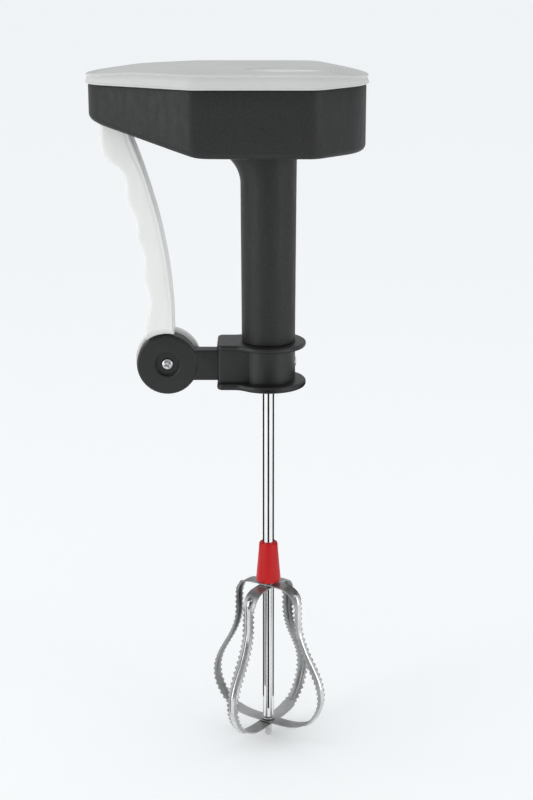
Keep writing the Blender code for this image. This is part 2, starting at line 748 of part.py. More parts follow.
def blade_side():
    """Right half of a loop's centreline, from the top of the shaft's axis round to its bottom."""
    return smooth([
        (0.0, 89.3), (7.0, 89.3), (12.5, 88.6), (16.6, 86.0), (18.7, 81.5), (19.0, 75.0), (19.2, 68.0),
        (20.8, 61.0), (24.2, 53.5), (28.3, 46.5), (32.0, 39.5), (33.9, 32.5), (33.4, 25.5), (30.2, 18.6),
        (25.0, 13.2), (18.5, 10.2), (12.0, 9.2), (6.0, 9.0), (0.0, 9.0),
    ], 2)


def offset_side(side, distance):
    """The same line moved sideways by distance, outwards if positive."""
    moved_side = []
    for i, point in enumerate(side):
        before = Vector(side[max(i - 1, 0)])
        after = Vector(side[min(i + 1, len(side) - 1)])
        along = (after - before).normalized()
        moved_side.append((point[0] - along.y * distance, point[1] + along.x * distance))
    return moved_side


def whisk_blade(name, angle, drop):
    """One closed strip loop: two opposite blades, with a hole for the shaft at top and bottom."""
    loops = []
    for distance in (STRIP / 2, -STRIP / 2):
        side = [(r, z - drop) for r, z in offset_side(blade_side(), distance)]
        mirrored = [(-r, z) for r, z in reversed(side)]
        loops.append(side + mirrored[1:-1])
    blade = slab(loops, -STRIP_HALF_WIDTH, STRIP_HALF_WIDTH, along="Y")
    blade.data.transform(Matrix.Rotation(math.radians(angle), 4, "Z"))
    cut(blade, disc(0, 0, SHAFT_RADIUS + GAP, 60.0, COLLAR_TOP))
    cut(blade, disc(0, 0, STUB_RADIUS + GAP, -PAST, 40.0))
    return part(blade, name, POLISHED_STEEL)


def whisk_washer():
    return part(ring(STUB_RADIUS + GAP, 3.5, WASHER_LOW, STUB_TOP - GAP, SMALL_STEPS), "whisk_washer", STEEL)


# ---------------------------------------------------------------- bracket, hinge and lever

def flange_outline():
    """A round flange whose foot runs out towards the hinge with a soft S on each side."""
    half = FLANGE_HALF_WIDTH
    foot = rounded([(BRACKET_LEFT, 0.0, 0.0), (BRACKET_LEFT, -half, 3.0), (-18.0, -half, 0.0)], SHARP_STEP)
    near = [*foot[1:], (-15.0, -half - 0.5), (-12.6, -half - 2.0)]
    arc = [math.radians(a) for a in range(-120, 121, 8)]
    far = [(x, -y) for x, y in reversed(near)]
    return near + [(FLANGE_RADIUS * math.cos(a), FLANGE_RADIUS * math.sin(a)) for a in arc] + far


def hinge_bracket():
    left = BRACKET_LEFT
    inner_low = BRACKET_LOW + 1
    inner_top = BRACKET_TOP - 1
    sleeve = disc(0, 0, SLEEVE_RADIUS, inner_low, inner_top, steps=ROUND_STEPS)
    for low, high in ((BRACKET_LOW, BRACKET_LOW + LOW_FLANGE), (BRACKET_TOP - TOP_FLANGE, BRACKET_TOP)):
        flange = slab([flange_outline()], low, high)
        bevel(flange, 0.8, segments=1, angle=50)
        join(sleeve, flange)
    box = [(left + 0.6, -BOX_HALF_WIDTH, 1.0), (0.0, -BOX_HALF_WIDTH, 0.0),
           (0.0, BOX_HALF_WIDTH, 0.0), (left + 0.6, BOX_HALF_WIDTH, 1.0)]
    join(sleeve, slab([rounded(box, SHARP_STEP)], inner_low, inner_top))
    drum = disc(PIVOT_X, PIVOT_Z, DRUM_RADIUS, -DRUM_HALF, DRUM_HALF, along="Y", steps=ROUND_STEPS)
    arm = slab([rectangle(PIVOT_X + 8, ARM_LOW, left + 3, ARM_TOP)], -ARM_HALF, ARM_HALF, along="Y")
    for piece in (arm, drum):
        bevel(piece, 0.9, angle=50)
        join(sleeve, piece)
    seat = BRACKET_LOW + LOW_FLANGE
    cut(sleeve, disc(0, 0, SPIGOT_RADIUS + GAP, seat, BRACKET_TOP + PAST, steps=ROUND_STEPS))
    join(sleeve, disc(0, 0, HUB_RADIUS, inner_low, HUB_TOP, steps=SHAFT_STEPS))
    cut(sleeve, disc(0, 0, HUB_BORE, BRACKET_LOW - PAST, HUB_TOP + PAST, steps=SHAFT_STEPS))
    front = -DRUM_HALF - PAST
    rear = DRUM_HALF + PAST
    counterbore = -DRUM_HALF + COUNTERBORE_DEPTH
    pocket = [circle(PIVOT_X, PIVOT_Z, radius, SHAFT_STEPS) for radius in SPRING_POCKET]
    outside = SLEEVE_RADIUS + 2 * PAST
    cut(
        sleeve,
        disc(PIVOT_X, PIVOT_Z, COUNTERBORE_RADIUS, front, counterbore, along="Y", steps=SHAFT_STEPS),
        disc(PIVOT_X, PIVOT_Z, PIVOT_SCREW_HOLE, front, rear, along="Y"),
        disc(PIVOT_X, PIVOT_Z, PIVOT_HOLE, counterbore + SLEEVE_SEAT, rear, along="Y"),
        slab(pocket, SPRING_POCKET_FLOOR, rear, along="Y"),
        disc(0, BRACKET_SCREW_Z, BRACKET_SCREW_HOLE, SPIGOT_RADIUS - PAST, outside, along="X", steps=12),
        disc(0, BRACKET_SCREW_Z, BRACKET_SCREW_SINK, SLEEVE_RADIUS - 1, outside, along="X", steps=16),
    )
    return part(sleeve, "hinge_bracket", BLACK_PLASTIC)


def bracket_screw():
    seat = SLEEVE_RADIUS - 1 + GAP
    profile = screw_profile(BRACKET_SCREW_SINK - 0.4, 1.3, 0.0, BRACKET_SCREW_HOLE - GAP, -4.0)
    screw = turned(profile, SCREW_STEPS, x=seat, z=BRACKET_SCREW_Z, axis="X")
    return part(screw, "bracket_screw", STEEL)


def pivot_hardware():
    """The screw, the sleeve that the lever turns on, and the nut behind the lever."""
    back = KNUCKLE_Y[1]
    seat = DRUM_HALF - COUNTERBORE_DEPTH + GAP
    shank = PIVOT_SCREW_HOLE - GAP
    profile = screw_profile(SCREW_HEAD, seat + SCREW_HEAD_HEIGHT, seat, shank, -back - 2.2)
    screw = turned(profile, SMALL_STEPS, PIVOT_X, 0, z=PIVOT_Z, axis="-Y")
    bore = circle(PIVOT_X, PIVOT_Z, PIVOT_SCREW_HOLE, SMALL_STEPS)
    sleeve_from = -DRUM_HALF + COUNTERBORE_DEPTH + SLEEVE_SEAT + GAP
    sleeve_ring = circle(PIVOT_X, PIVOT_Z, PIVOT_HOLE - GAP, SMALL_STEPS)
    sleeve = slab([sleeve_ring, bore], sleeve_from, back + 0.2, along="Y")
    nut = slab([circle(PIVOT_X, PIVOT_Z, NUT_RADIUS, 6), bore], back + 0.6, back + 3.0, along="Y")
    return (
        part(screw, "pivot_screw", STEEL),
        part(sleeve, "pivot_sleeve", STEEL),
        part(nut, "pivot_nut", STEEL),
    )


def return_spring():
    """Torsion spring wound round the hinge, in the pocket at the back of the drum."""
    coil_radius = sum(SPRING_POCKET) / 2
    wire = 0.55
    turns = 3
    per_turn = 12
    first_y = 0.7
    pitch = 1.2
    points = []
    for k in range(turns * per_turn + 1):
        angle = 2 * math.pi * k / per_turn
        x = PIVOT_X + coil_radius * math.cos(angle)
        z = PIVOT_Z + coil_radius * math.sin(angle)
        points.append((x, first_y + pitch * angle / (2 * math.pi), z))
    curve = bpy.data.curves.new("spring", "CURVE")
    curve.dimensions = "3D"
    curve.bevel_depth = wire * MM
    curve.bevel_resolution = 1
    curve.use_fill_caps = True
    spline = curve.splines.new("POLY")
    spline.points.add(len(points) - 1)
    for target, point in zip(spline.points, points):
        target.co = (*(c * MM for c in point), 1.0)
    return part(mesh_from(bpy.data.objects.new("spring", curve)), "return_spring", STEEL)


def lever_outline():
    """Side view of the lever body: scalloped for the fingers outside, a long bow inside."""
    outer = smooth([
        (-62.2, 225.2), (-63.2, 231.0), (-62.8, 236.5), (-60.9, 242.0), (-60.6, 247.5), (-62.2, 253.5),
        (-63.6, 258.5), (-63.0, 263.0), (-62.8, 268.5), (-64.5, 274.0), (-66.4, 279.0), (-66.3, 284.5),
        (-67.9, 290.5), (-70.2, 295.0), (-71.3, 299.0), (-71.3, 304.8), (-72.6, 310.0), (-75.9, 314.0),
        (-79.9, 316.8), (-82.8, 320.4), (-83.9, 325.4), (-83.4, 330.6),
    ], 2)
    top = [(PIVOT_X + LEVER_BODY_REACH * math.sin(math.radians(a)),
            PIVOT_Z + LEVER_BODY_REACH * math.cos(math.radians(a))) for a in (-14.1, -11.5, -9.0)]
    inner = smooth([
        (-68.6, 330.6), (-63.9, 318.0), (-59.1, 303.0), (-55.4, 290.0), (-52.6, 277.0), (-50.4, 264.0),
        (-49.0, 251.0), (-48.3, 239.0), (-48.2, 228.6),
    ], 2)
    return outer + top + inner + [(PIVOT_X, 222.0)]


def lever_cheek():
    """Side view of the thin cheeks that run on into the housing on both sides of the rack's head."""
    return [
        (-81.6, 327.0), (-82.9, 331.0), (-83.3, 335.3), (-82.8, 335.9), (-81.3, 336.1), (-80.4, 335.0),
        (-78.9, 333.8), (-76.0, 334.3), (-72.2, 334.9), (-71.4, 334.5), (-71.0, 331.0), (-70.6, 327.0),
    ]


def squeeze_lever():
    body = slab([lever_outline()], -LEVER_HALF, LEVER_HALF, along="Y")
    bevel(body, LEVER_ROUND, segments=3, angle=60)
    for low, high in ((-CHEEK_Y[1], -CHEEK_Y[0]), CHEEK_Y):
        join(body, slab([lever_cheek()], low, high, along="Y"))
    for side in (-1, 1):
        wedge = [
            (side * (LEVER_HALF + 0.01), LEVER_TAPER_Z[0]), (side * LEVER_TOP_HALF, LEVER_TAPER_Z[1]),
            (side * 2 * LEVER_HALF, LEVER_TAPER_Z[1]), (side * 2 * LEVER_HALF, LEVER_TAPER_Z[0]),
        ]
        cut(body, slab([wedge], -REACH, REACH, along="X"))
    cut(body, disc(PIVOT_X, PIVOT_Z, KNUCKLE_RADIUS - GAP, -REACH, REACH, along="Y", steps=48))
    cut(body, turned(LEVER_FOOT, 48, PIVOT_X, 0, z=PIVOT_Z, axis="-Y"))
    join(body, disc(PIVOT_X, PIVOT_Z, KNUCKLE_RADIUS, *KNUCKLE_Y, along="Y", steps=48))
    tongue = rounded([
        (-83.3, 322.0, 0.0), (-70.0, 322.0, 0.0), (-71.6, DRIVE_PIN_Z + 3.6, 2.6),
        (-79.8, DRIVE_PIN_Z + 3.6, 2.6), (-83.6, 335.2, 1.2),
    ], SHARP_STEP)
    join(body, slab([tongue], -TONGUE_HALF, TONGUE_HALF, along="Y"))
    cut(body, disc(PIVOT_X, PIVOT_Z, PIVOT_HOLE, -REACH, REACH, along="Y"))
    pin_hole = DRIVE_PIN_RADIUS + GAP
    cut(body, disc(DRIVE_PIN_X, DRIVE_PIN_Z, pin_hole, -REACH, REACH, along="Y", steps=16))
    return part(body, "squeeze_lever", WHITE_PLASTIC)


def drive_pin():
    head = -TONGUE_HALF - GAP
    head_end = -TONGUE_HALF - 1.6
    profile = [
        (0.0, DRIVE_PIN_TIP), (DRIVE_PIN_RADIUS, DRIVE_PIN_TIP), (DRIVE_PIN_RADIUS, head),
        (DRIVE_PIN_HEAD, head), (DRIVE_PIN_HEAD, head_end), (0.0, head_end),
    ]
    pin = turned(profile, SMALL_STEPS, DRIVE_PIN_X, 0, z=DRIVE_PIN_Z, axis="-Y")
    return part(pin, "drive_pin", STEEL)


# ---------------------------------------------------------------- the whole object

clear_scene()
PARTS = new_collection("squeeze_hand_blender")
TOOLS = new_collection("cutters")

BLACK_PLASTIC = material("black_plastic", (0.035, 0.036, 0.038), 0.55)
PALE_PLASTIC = material("pale_plastic", (0.62, 0.62, 0.61), 0.4)
WHITE_PLASTIC = material("white_plastic", (0.8, 0.8, 0.79), 0.35)
RED_PLASTIC = material("red_plastic", (0.5, 0.012, 0.02), 0.3)
GEAR_PLASTIC = material("gear_plastic", (0.78, 0.76, 0.7), 0.45)
POLISHED_STEEL = material("polished_steel", (0.72, 0.72, 0.73), 0.16, 1.0)
STEEL = material("steel", (0.55, 0.55, 0.56), 0.35, 1.0)
BRASS = material("brass", (0.72, 0.52, 0.22), 0.3, 1.0)

gear_housing()
top_cover()
cover_screws()
gear_plate()
plate_screws()
shaft_bushes()
idler_axle()
rack_guide()
guide_screws()
hinge_bracket()
bracket_screw()
pivot_hardware()
return_spring()

whisk = [
    whisk_shaft(),
    shaft_pinion(),
    shaft_stop_ring(),
    whisk_collar(),
    whisk_blade("whisk_blade_a", BLADE_ANGLES[0], 0.0),
    whisk_blade("whisk_blade_b", BLADE_ANGLES[1], BLADE_DROP),
    whisk_washer(),
]
ride_on(whisk, 0, 0, SHAFT_TOP, "whisk_axis")
ride_on([idler_gear()], IDLER_X, IDLER_Y, GEAR_LOW, "idler_axis")
ride_on([drive_rack()], DRIVE_PIN_X, 0, DRIVE_PIN_Z, "rack_line")
ride_on([squeeze_lever(), drive_pin()], PIVOT_X, 0, PIVOT_Z, "lever_pivot")
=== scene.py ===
"""Looks for the squeeze-lever hand blender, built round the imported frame.

Sizes are in millimetres and match the CAD: origin at the lower end of the whisk shaft, +Z up the
shaft, -X towards the lever, +Y to the far side.
"""

import math

import bmesh
import bpy
from mathutils import Matrix, Vector


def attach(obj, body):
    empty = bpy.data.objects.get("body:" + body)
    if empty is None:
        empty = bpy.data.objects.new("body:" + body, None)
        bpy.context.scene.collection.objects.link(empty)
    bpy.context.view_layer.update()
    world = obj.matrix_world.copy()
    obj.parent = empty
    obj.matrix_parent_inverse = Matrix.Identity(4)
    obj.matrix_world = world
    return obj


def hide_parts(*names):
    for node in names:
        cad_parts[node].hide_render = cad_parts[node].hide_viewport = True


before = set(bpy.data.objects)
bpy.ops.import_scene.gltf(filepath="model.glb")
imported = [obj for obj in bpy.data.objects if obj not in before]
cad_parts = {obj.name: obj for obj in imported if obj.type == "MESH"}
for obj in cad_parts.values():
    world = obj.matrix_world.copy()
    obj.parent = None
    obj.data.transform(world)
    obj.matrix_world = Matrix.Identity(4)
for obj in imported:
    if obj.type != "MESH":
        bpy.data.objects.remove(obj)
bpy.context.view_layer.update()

MM = 0.001
WELD = 0.000005  # metres
CREASE = math.radians(32)

# Housing and cover
HALF_WIDTH = 37.0
NOSE_X, TAPER_X, FACET_X, BACK_X = -106.5, -37.0, 24.0, 61.0  # the outline's sharp corners
NOSE_ROUND, TAPER_ROUND, FACET_ROUND, BACK_ROUND = 15.5, 8.0, 12.0, 30.7
BODY_BOTTOM = 321.7
SEAM = 354.5
WALL = 2.3
FLOOR = 324.6
SLOPE_START_X = -34.0
SLOPE = 0.278
SLOPE_BLEND = 3.0  # how gently the floor turns into the slope
BOTTOM_ROUND = 3.2
COVER_LOW = SEAM + 0.3
COVER_TOP = 362.2
COVER_NOSE = (-65.0, 0.104)  # where the top starts to fall, and how steeply
COVER_BACK = (25.0, 0.128)
COVER_BLEND = 4.0
COVER_ROOF = 3.2  # from the top down to the hollow under it
LIP_OUT, LIP_IN = -WALL - 0.3, -WALL - 1.7  # both faces of the lip, from the outline
LENS_START, LENS_LENGTH = -12.0, 41.0
LENS_MIDDLE, LENS_HALF_WIDTH = -7.0, 6.0
LENS_BED = 1.42
GRIP_START, GRIP_PITCH, GRIP_ROWS = 29.8, 2.3, 9
GRIP_ARC = (17.6, 28.1)  # centre and radius of the cover's round end
LEVER_SLOT = (-85.6, -30.5, 8.9)  # from, to, half width
LEVER_SLOT_CORNERS = (2.5, 3.0)
COVER_SCREWS = [(-33.0, 28.0), (24.5, 27.0), (24.5, -27.0), (-33.0, -28.0)]
COVER_SCREW_HOLE = 1.7
COVER_SCREW_SEAT = (3.2, 1.2)  # radius, depth
POST_RADIUS, POST_BORE_TOP = 3.2, 341.0
BOSSES = [(-24.0, 26.0), (14.0, 26.0), (14.0, -26.0), (-24.6, 5.5)]
BOSS_RADIUS, BOSS_TOP = 3.0, 327.0

# Tube handle
TUBE_LOW_RADIUS = 13.7
TUBE_TOP_RADIUS = 14.3
TUBE_SHOULDER = 224.0
SPIGOT_RADIUS = 11.6
SPIGOT_END = 206.5
TUBE_BORE = [(SPIGOT_END - 1, 9.6), (230.3, 9.6), (232.0, 11.3), (FLOOR + 1, 11.3)]
FLARE_LOW = 304.8
FLARE_RADIUS = 17.0

# Bracket
PIVOT_X = -52.0
PIVOT_Z = 211.7
BRACKET_LOW = 200.1
BRACKET_TOP = 223.7
LOW_FLANGE = 3.4
TOP_FLANGE = 2.7
FLANGE_RADIUS = 19.3
FLANGE_HALF_WIDTH = 12.5
BRACKET_LEFT = -26.3
SLEEVE_RADIUS = 13.8
BOX_HALF_WIDTH = 9.5
ARM_LOW = 203.3
ARM_TOP = 219.3
ARM_HALF = 4.5
DRUM_RADIUS = 15.7
DRUM_HALF = 5.0
COUNTERBORE = (6.2, 2.6)  # radius, depth
SPRING_POCKET = (6.2, 11.4)  # inner and outer radius
PIVOT_SCREW_HOLE = 1.9
BUSH_SEAT = (6.5, 209.0)  # radius, top
BUSH_BORE = 5.0
BRACKET_SCREW_Z = 212.5

# Lever
LEVER_HALF = 11.0
LEVER_TOP_HALF = 7.9
KNUCKLE_RADIUS = 17.2
KNUCKLE_Y = (5.4, 10.0)
PIVOT_HOLE = 3.9
LEVER_FOOT = [
    (0.0, 12.0), (21.6, 12.0), (20.9, 11.2), (20.0, 10.3), (19.0, 9.3), (18.1, 8.2), (17.3, 7.0),
    (16.9, 6.2), (0.0, 6.2),
]
LEVER_SECTION = [  # shares of the half width and half thickness
    (-1.0, 0.0), (-1.0, 0.4), (-0.992, 0.62), (-0.965, 0.78), (-0.91, 0.89), (-0.83, 0.955),
    (-0.72, 0.987), (-0.55, 1.0), (-0.2, 1.0), (0.2, 1.0), (0.5, 1.0), (0.60, 0.996), (0.655, 0.98),
    (0.69, 0.968), (0.73, 0.966), (0.84, 0.964), (0.91, 0.95), (0.955, 0.91), (0.982, 0.84),
    (0.996, 0.72), (1.0, 0.5), (1.0, 0.0),
]
LEVER_TOP = [  # degrees and radius about the pivot
    (-18.0, 122.6), (-14.1, 122.9), (-11.5, 122.9), (-9.0, 122.9), (-4.0, 122.9),
]
LEVER_CROWN = [
    (-90.0, 335.3), (-83.3, 335.3), (-82.8, 335.9), (-81.3, 336.1), (-80.4, 335.0), (-78.9, 333.8),
    (-76.0, 334.3), (-72.2, 334.9), (-71.4, 334.5), (-60.0, 334.0),
]
LEVER_CUT = (-90.0, -60.0, 345.0)  # left, right and upper end of the cuts through its top
LEVER_SPAN = (225.0, 115.0)  # where it starts to narrow, and over what height
THROUGH = 20  # half length of a cut right through the lever
DRIVE_PIN_X = -76.0
DRIVE_PIN_Z = PIVOT_Z + math.sqrt(129.5**2 - (DRIVE_PIN_X - PIVOT_X) ** 2)

# Whisk
SHAFT_RADIUS = 3.0
SHAFT_TOP = 334.4
STUB_RADIUS = 1.85
STUB_TOP = 11.0
KNURL_TOP = 7.4
COLLAR = (91.0, 113.0)
STRIP = 0.75
STRIP_HALF_WIDTH = 3.9
BLADE_DROP = 1.1
BLADE_ANGLES = (-34.0, 56.0)
TOOTH_PITCH = 2.9
TOOTH_DEPTH = 1.4
BEAD_HEIGHT = 1.2
BEAD_HALF_WIDTH = 1.95
BEAD_WIDTHS = (-2.25, -2.0, -1.75, -1.35, -0.9, -0.45, 0.0, 0.45, 0.9, 1.35, 1.75, 2.0, 2.25)
CREST_WIDTHS = (-1.55, -1.3, -0.85, -0.4, 0.0, 0.4, 0.85, 1.3, 1.55)

# Studio, in metres and degrees
CAMERA_PLACE = (-0.001, -0.850, 0.4417)
CAMERA_TILT = 16.4
SENSOR_HEIGHT, LENS = 24.0, 51.12  # millimetres
FLOOR_HALF = 20.0
FLOOR_DROP = 0.0005
LIGHT_TARGET = (0, 0, 0.27)
SOFTBOXES = [
    ("left_softbox", (-1.35, -0.8, 0.40), 5.2),
    ("right_softbox", (1.35, -0.95, 0.40), 4.6),
]
SOFTBOX_SIZE = (0.7, 0.8)
SKY_COLOUR = (0.965, 0.985, 1.0)
SKY = [  # axis, its range, and the strength at both ends
    ("Z", 0.02, 0.75, 0.44, 0.88), ("Y", -0.95, -0.35, 0.52, 1.0),
    ("X", -0.95, -0.45, 1.9, 1.0), ("X", 0.45, 0.95, 1.0, 1.15),
]
SCREENS = [  # name, from, to, radius, low, high, shade
    ("upper_front_screen", -17.0, 17.0, 0.045, 0.092, 0.2, 0.01),
    ("lower_front_screen", -15.0, 15.0, 0.012, 0.012, 0.085, 0.01),
    ("blade_screen", -95.0, -47.0, 0.06, 0.002, 0.09, 0.40),
    ("upper_left_screen", 198.0, 272.0, 0.045, 0.096, 0.2, 0.01),
    ("lower_left_screen", 198.0, 268.0, 0.012, 0.018, 0.085, 0.01),
    ("upper_right_screen", 88.0, 162.0, 0.045, 0.096, 0.2, 0.01),
    ("lower_right_screen", 88.0, 158.0, 0.012, 0.018, 0.085, 0.01),
]


# ---- mesh tools

def smoothstep(low, high, value):
    t = min(1.0, max(0.0, (value - low) / (high - low)))
    return t * t * (3 - 2 * t)


def ramp(distance, blend):
    """Zero below 0 and equal to distance above it, with a soft turn between."""
    return (distance + math.sqrt(distance * distance + blend * blend)) / 2


def added(name, data):
    obj = bpy.data.objects.new(name, data)
    bpy.context.scene.collection.objects.link(obj)
    return obj


def mesh_object(name, bm):
    bmesh.ops.remove_doubles(bm, verts=bm.verts, dist=WELD)
    bmesh.ops.recalc_face_normals(bm, faces=bm.faces)
    mesh = bpy.data.meshes.new(name)
    bm.to_mesh(mesh)
    bm.free()
    return added(name, mesh)


def applied(obj):
    """Applies an object's modifiers to its mesh."""
    bpy.context.view_layer.update()
    depsgraph = bpy.context.evaluated_depsgraph_get()
    mesh = bpy.data.meshes.new_from_object(obj.evaluated_get(depsgraph))
    obj.modifiers.clear()
    obj.data = mesh
    return obj


def boolean(base, operation, *others):
    for other in others:
        modifier = base.modifiers.new(operation, "BOOLEAN")
        modifier.operation = operation
        modifier.solver = "EXACT"
        modifier.object = other
    applied(base)
    for other in others:
        bpy.data.objects.remove(other)


def cut(base, *others):
    boolean(base, "DIFFERENCE", *others)


def join(base, *others):
    boolean(base, "UNION", *others)


def bevelled(obj, width, segments, angle=35.0):
    modifier = obj.modifiers.new("round", "BEVEL")
    modifier.width = width * MM
    modifier.segments = segments
    modifier.limit_method = "ANGLE"
    modifier.angle_limit = math.radians(angle)
    return applied(obj)


def placed(bm, rings):
    """Vertices at rings of points in millimetres."""
    return [[bm.verts.new(Vector(point) * MM) for point in ring] for ring in rings]


def face(bm, *verts):
    """A face, in which a corner that comes twice counts once."""
    corners = []
    for vert in verts:
        if vert not in corners:
            corners.append(vert)
    bm.faces.new(corners)


def bridge(bm, rows, closed=False):
    """Faces between each ring of vertices and the next."""
    count = len(rows[0])
    pairs = list(zip(rows, rows[1:]))
    if closed:
        pairs.append((rows[-1], rows[0]))
    for lower, upper in pairs:
        for i in range(count):
            j = (i + 1) % count
            face(bm, lower[i], lower[j], upper[j], upper[i])


def skin(rings, closed=False):
    """Joins rings of points into a surface. It closes on itself, or is capped at both ends."""
    bm = bmesh.new()
    rows = placed(bm, rings)
    bridge(bm, rows, closed)
    if not closed:
        bm.faces.new(rows[0][::-1])
        bm.faces.new(rows[-1])
    return mesh_object("skin", bm)


def prism(outline, low, high, along="Z"):
    """An outline made solid. It is in (x, y) along Z, (x, z) along Y and (y, z) along X."""
    axis = "XYZ".index(along)
    return skin([
        [(*point[:axis], level, *point[axis:]) for point in outline] for level in (low, high)
    ])


def circle(x, y, radius, steps):
    turns = [2 * math.pi * k / steps for k in range(steps)]
    return [(x + radius * math.cos(a), y + radius * math.sin(a)) for a in turns]


def disc(x, y, radius, low, high, along="Z", steps=64):
    return prism(circle(x, y, radius, steps), low, high, along)


def pivot_disc(radius, near, far, steps=64):
    """A disc round the lever's pivot, from near to far along Y."""
    return disc(PIVOT_X, PIVOT_Z, radius, near, far, "Y", steps)


def revolve(profile, steps, place=Matrix.Identity(4), shape=None):
    """Turns (radius, height) points about Z. A radius of 0 closes an end.

    shape, where given, adds to the radius by angle and height.
    """
    bm = bmesh.new()
    rows = []
    for radius, height in profile:
        if radius == 0:
            rows.append([bm.verts.new((0, 0, height * MM))] * steps)
            continue
        row = []
        for k in range(steps):
            angle = 2 * math.pi * k / steps
            r = radius if shape is None else radius + shape(angle, height)
            x, y = r * math.cos(angle) * MM, r * math.sin(angle) * MM
            row.append(bm.verts.new((x, y, height * MM)))
        rows.append(row)
    bridge(bm, rows, closed=profile[0][0] > 0)
    obj = mesh_object("turned", bm)
    obj.data.transform(place)
    return obj


def at(x, y, z, toward):
    """Places something turned about Z at a point, with its top towards the given direction."""
    turns = {
        "-Z": Matrix.Rotation(math.pi, 4, "X"),
        "-Y": Matrix.Rotation(math.pi / 2, 4, "X"),
        "X": Matrix.Rotation(math.pi / 2, 4, "Y"),
    }
    return Matrix.Translation((x * MM, y * MM, z * MM)) @ turns[toward]


def corner_arc(corners, i, steps):
    """Points round one corner of an outline of (x, y, radius) corners."""
    x, y, radius = corners[i]
    corner = Vector((x, y))
    before = (Vector(corners[i - 1][:2]) - corner).normalized()
    after = (Vector(corners[(i + 1) % len(corners)][:2]) - corner).normalized()
    if radius <= 0:
        return [(x, y)]
    half = before.angle(after) / 2
    centre = corner + (before + after).normalized() * radius / math.sin(half)
    first = corner + before * radius / math.tan(half) - centre
    sweep = first.angle_signed(corner + after * radius / math.tan(half) - centre)
    arc = []
    for k in range(steps + 1):
        turned = first.copy()
        turned.rotate(Matrix.Rotation(-sweep * k / steps, 2))
        arc.append(tuple(centre + turned))
    return arc


def rounded(corners, steps=8):
    outline = []
    for i in range(len(corners)):
        outline += corner_arc(corners, i, steps)
    return outline


def smooth(points, steps):
    """Points along a Catmull-Rom curve through the given ones."""
    ends = [points[0], *points, points[-1]]
    curve = []
    for a, b, c, d in zip(ends, ends[1:], ends[2:], ends[3:]):
        for k in range(steps):
            t = k / steps
            weights = (
                (2 * t**2 - t - t**3) / 2,
                (2 - 5 * t**2 + 3 * t**3) / 2,
                (t + 4 * t**2 - 3 * t**3) / 2,
                (t**3 - t**2) / 2,
            )
            curve.append(tuple(
                sum(weight * value for weight, value in zip(weights, values))
                for values in zip(a, b, c, d)
            ))
    curve.append(tuple(points[-1]))
    return curve


def lengths_along(points):
    """How far each point is from the first, along the line."""
    lengths = [0.0]
    for a, b in zip(points, points[1:]):
        lengths.append(lengths[-1] + math.dist(a, b))
    return lengths


def resampled(points, count):
    """The same line with count + 1 points at even distances."""
    lengths = lengths_along(points)
    line = []
    i = 0
    for k in range(count + 1):
        target = lengths[-1] * k / count
        while i < len(points) - 2 and lengths[i + 1] < target:
            i += 1
        span = max(lengths[i + 1] - lengths[i], 1e-9)
        t = (target - lengths[i]) / span
        line.append(tuple(p + (q - p) * t for p, q in zip(points[i], points[i + 1])))
    return line


def finished(obj, name, finish, body, slot, *nodes):
    """Names a piece, shades it, and says what it rides on and which CAD nodes it stands for."""
    obj.name = name
    obj.data.name = name
    obj.data.materials.clear()
    obj.data.materials.append(finish.material)
    for polygon in obj.data.polygons:
        polygon.use_smooth = True
        polygon.material_index = 0
    obj.data.set_sharp_from_angle(angle=CREASE)
    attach(obj, body)
    if nodes:
        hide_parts(*nodes)


# ---- materials

def set_range(node, from_low, from_high, low, high):
    """Sets what a Map Range node turns into what."""
    numbers = {"From Min": from_low, "From Max": from_high, "To Min": low, "To Max": high}
    for key, number in numbers.items():
        node.inputs[key].default_value = number


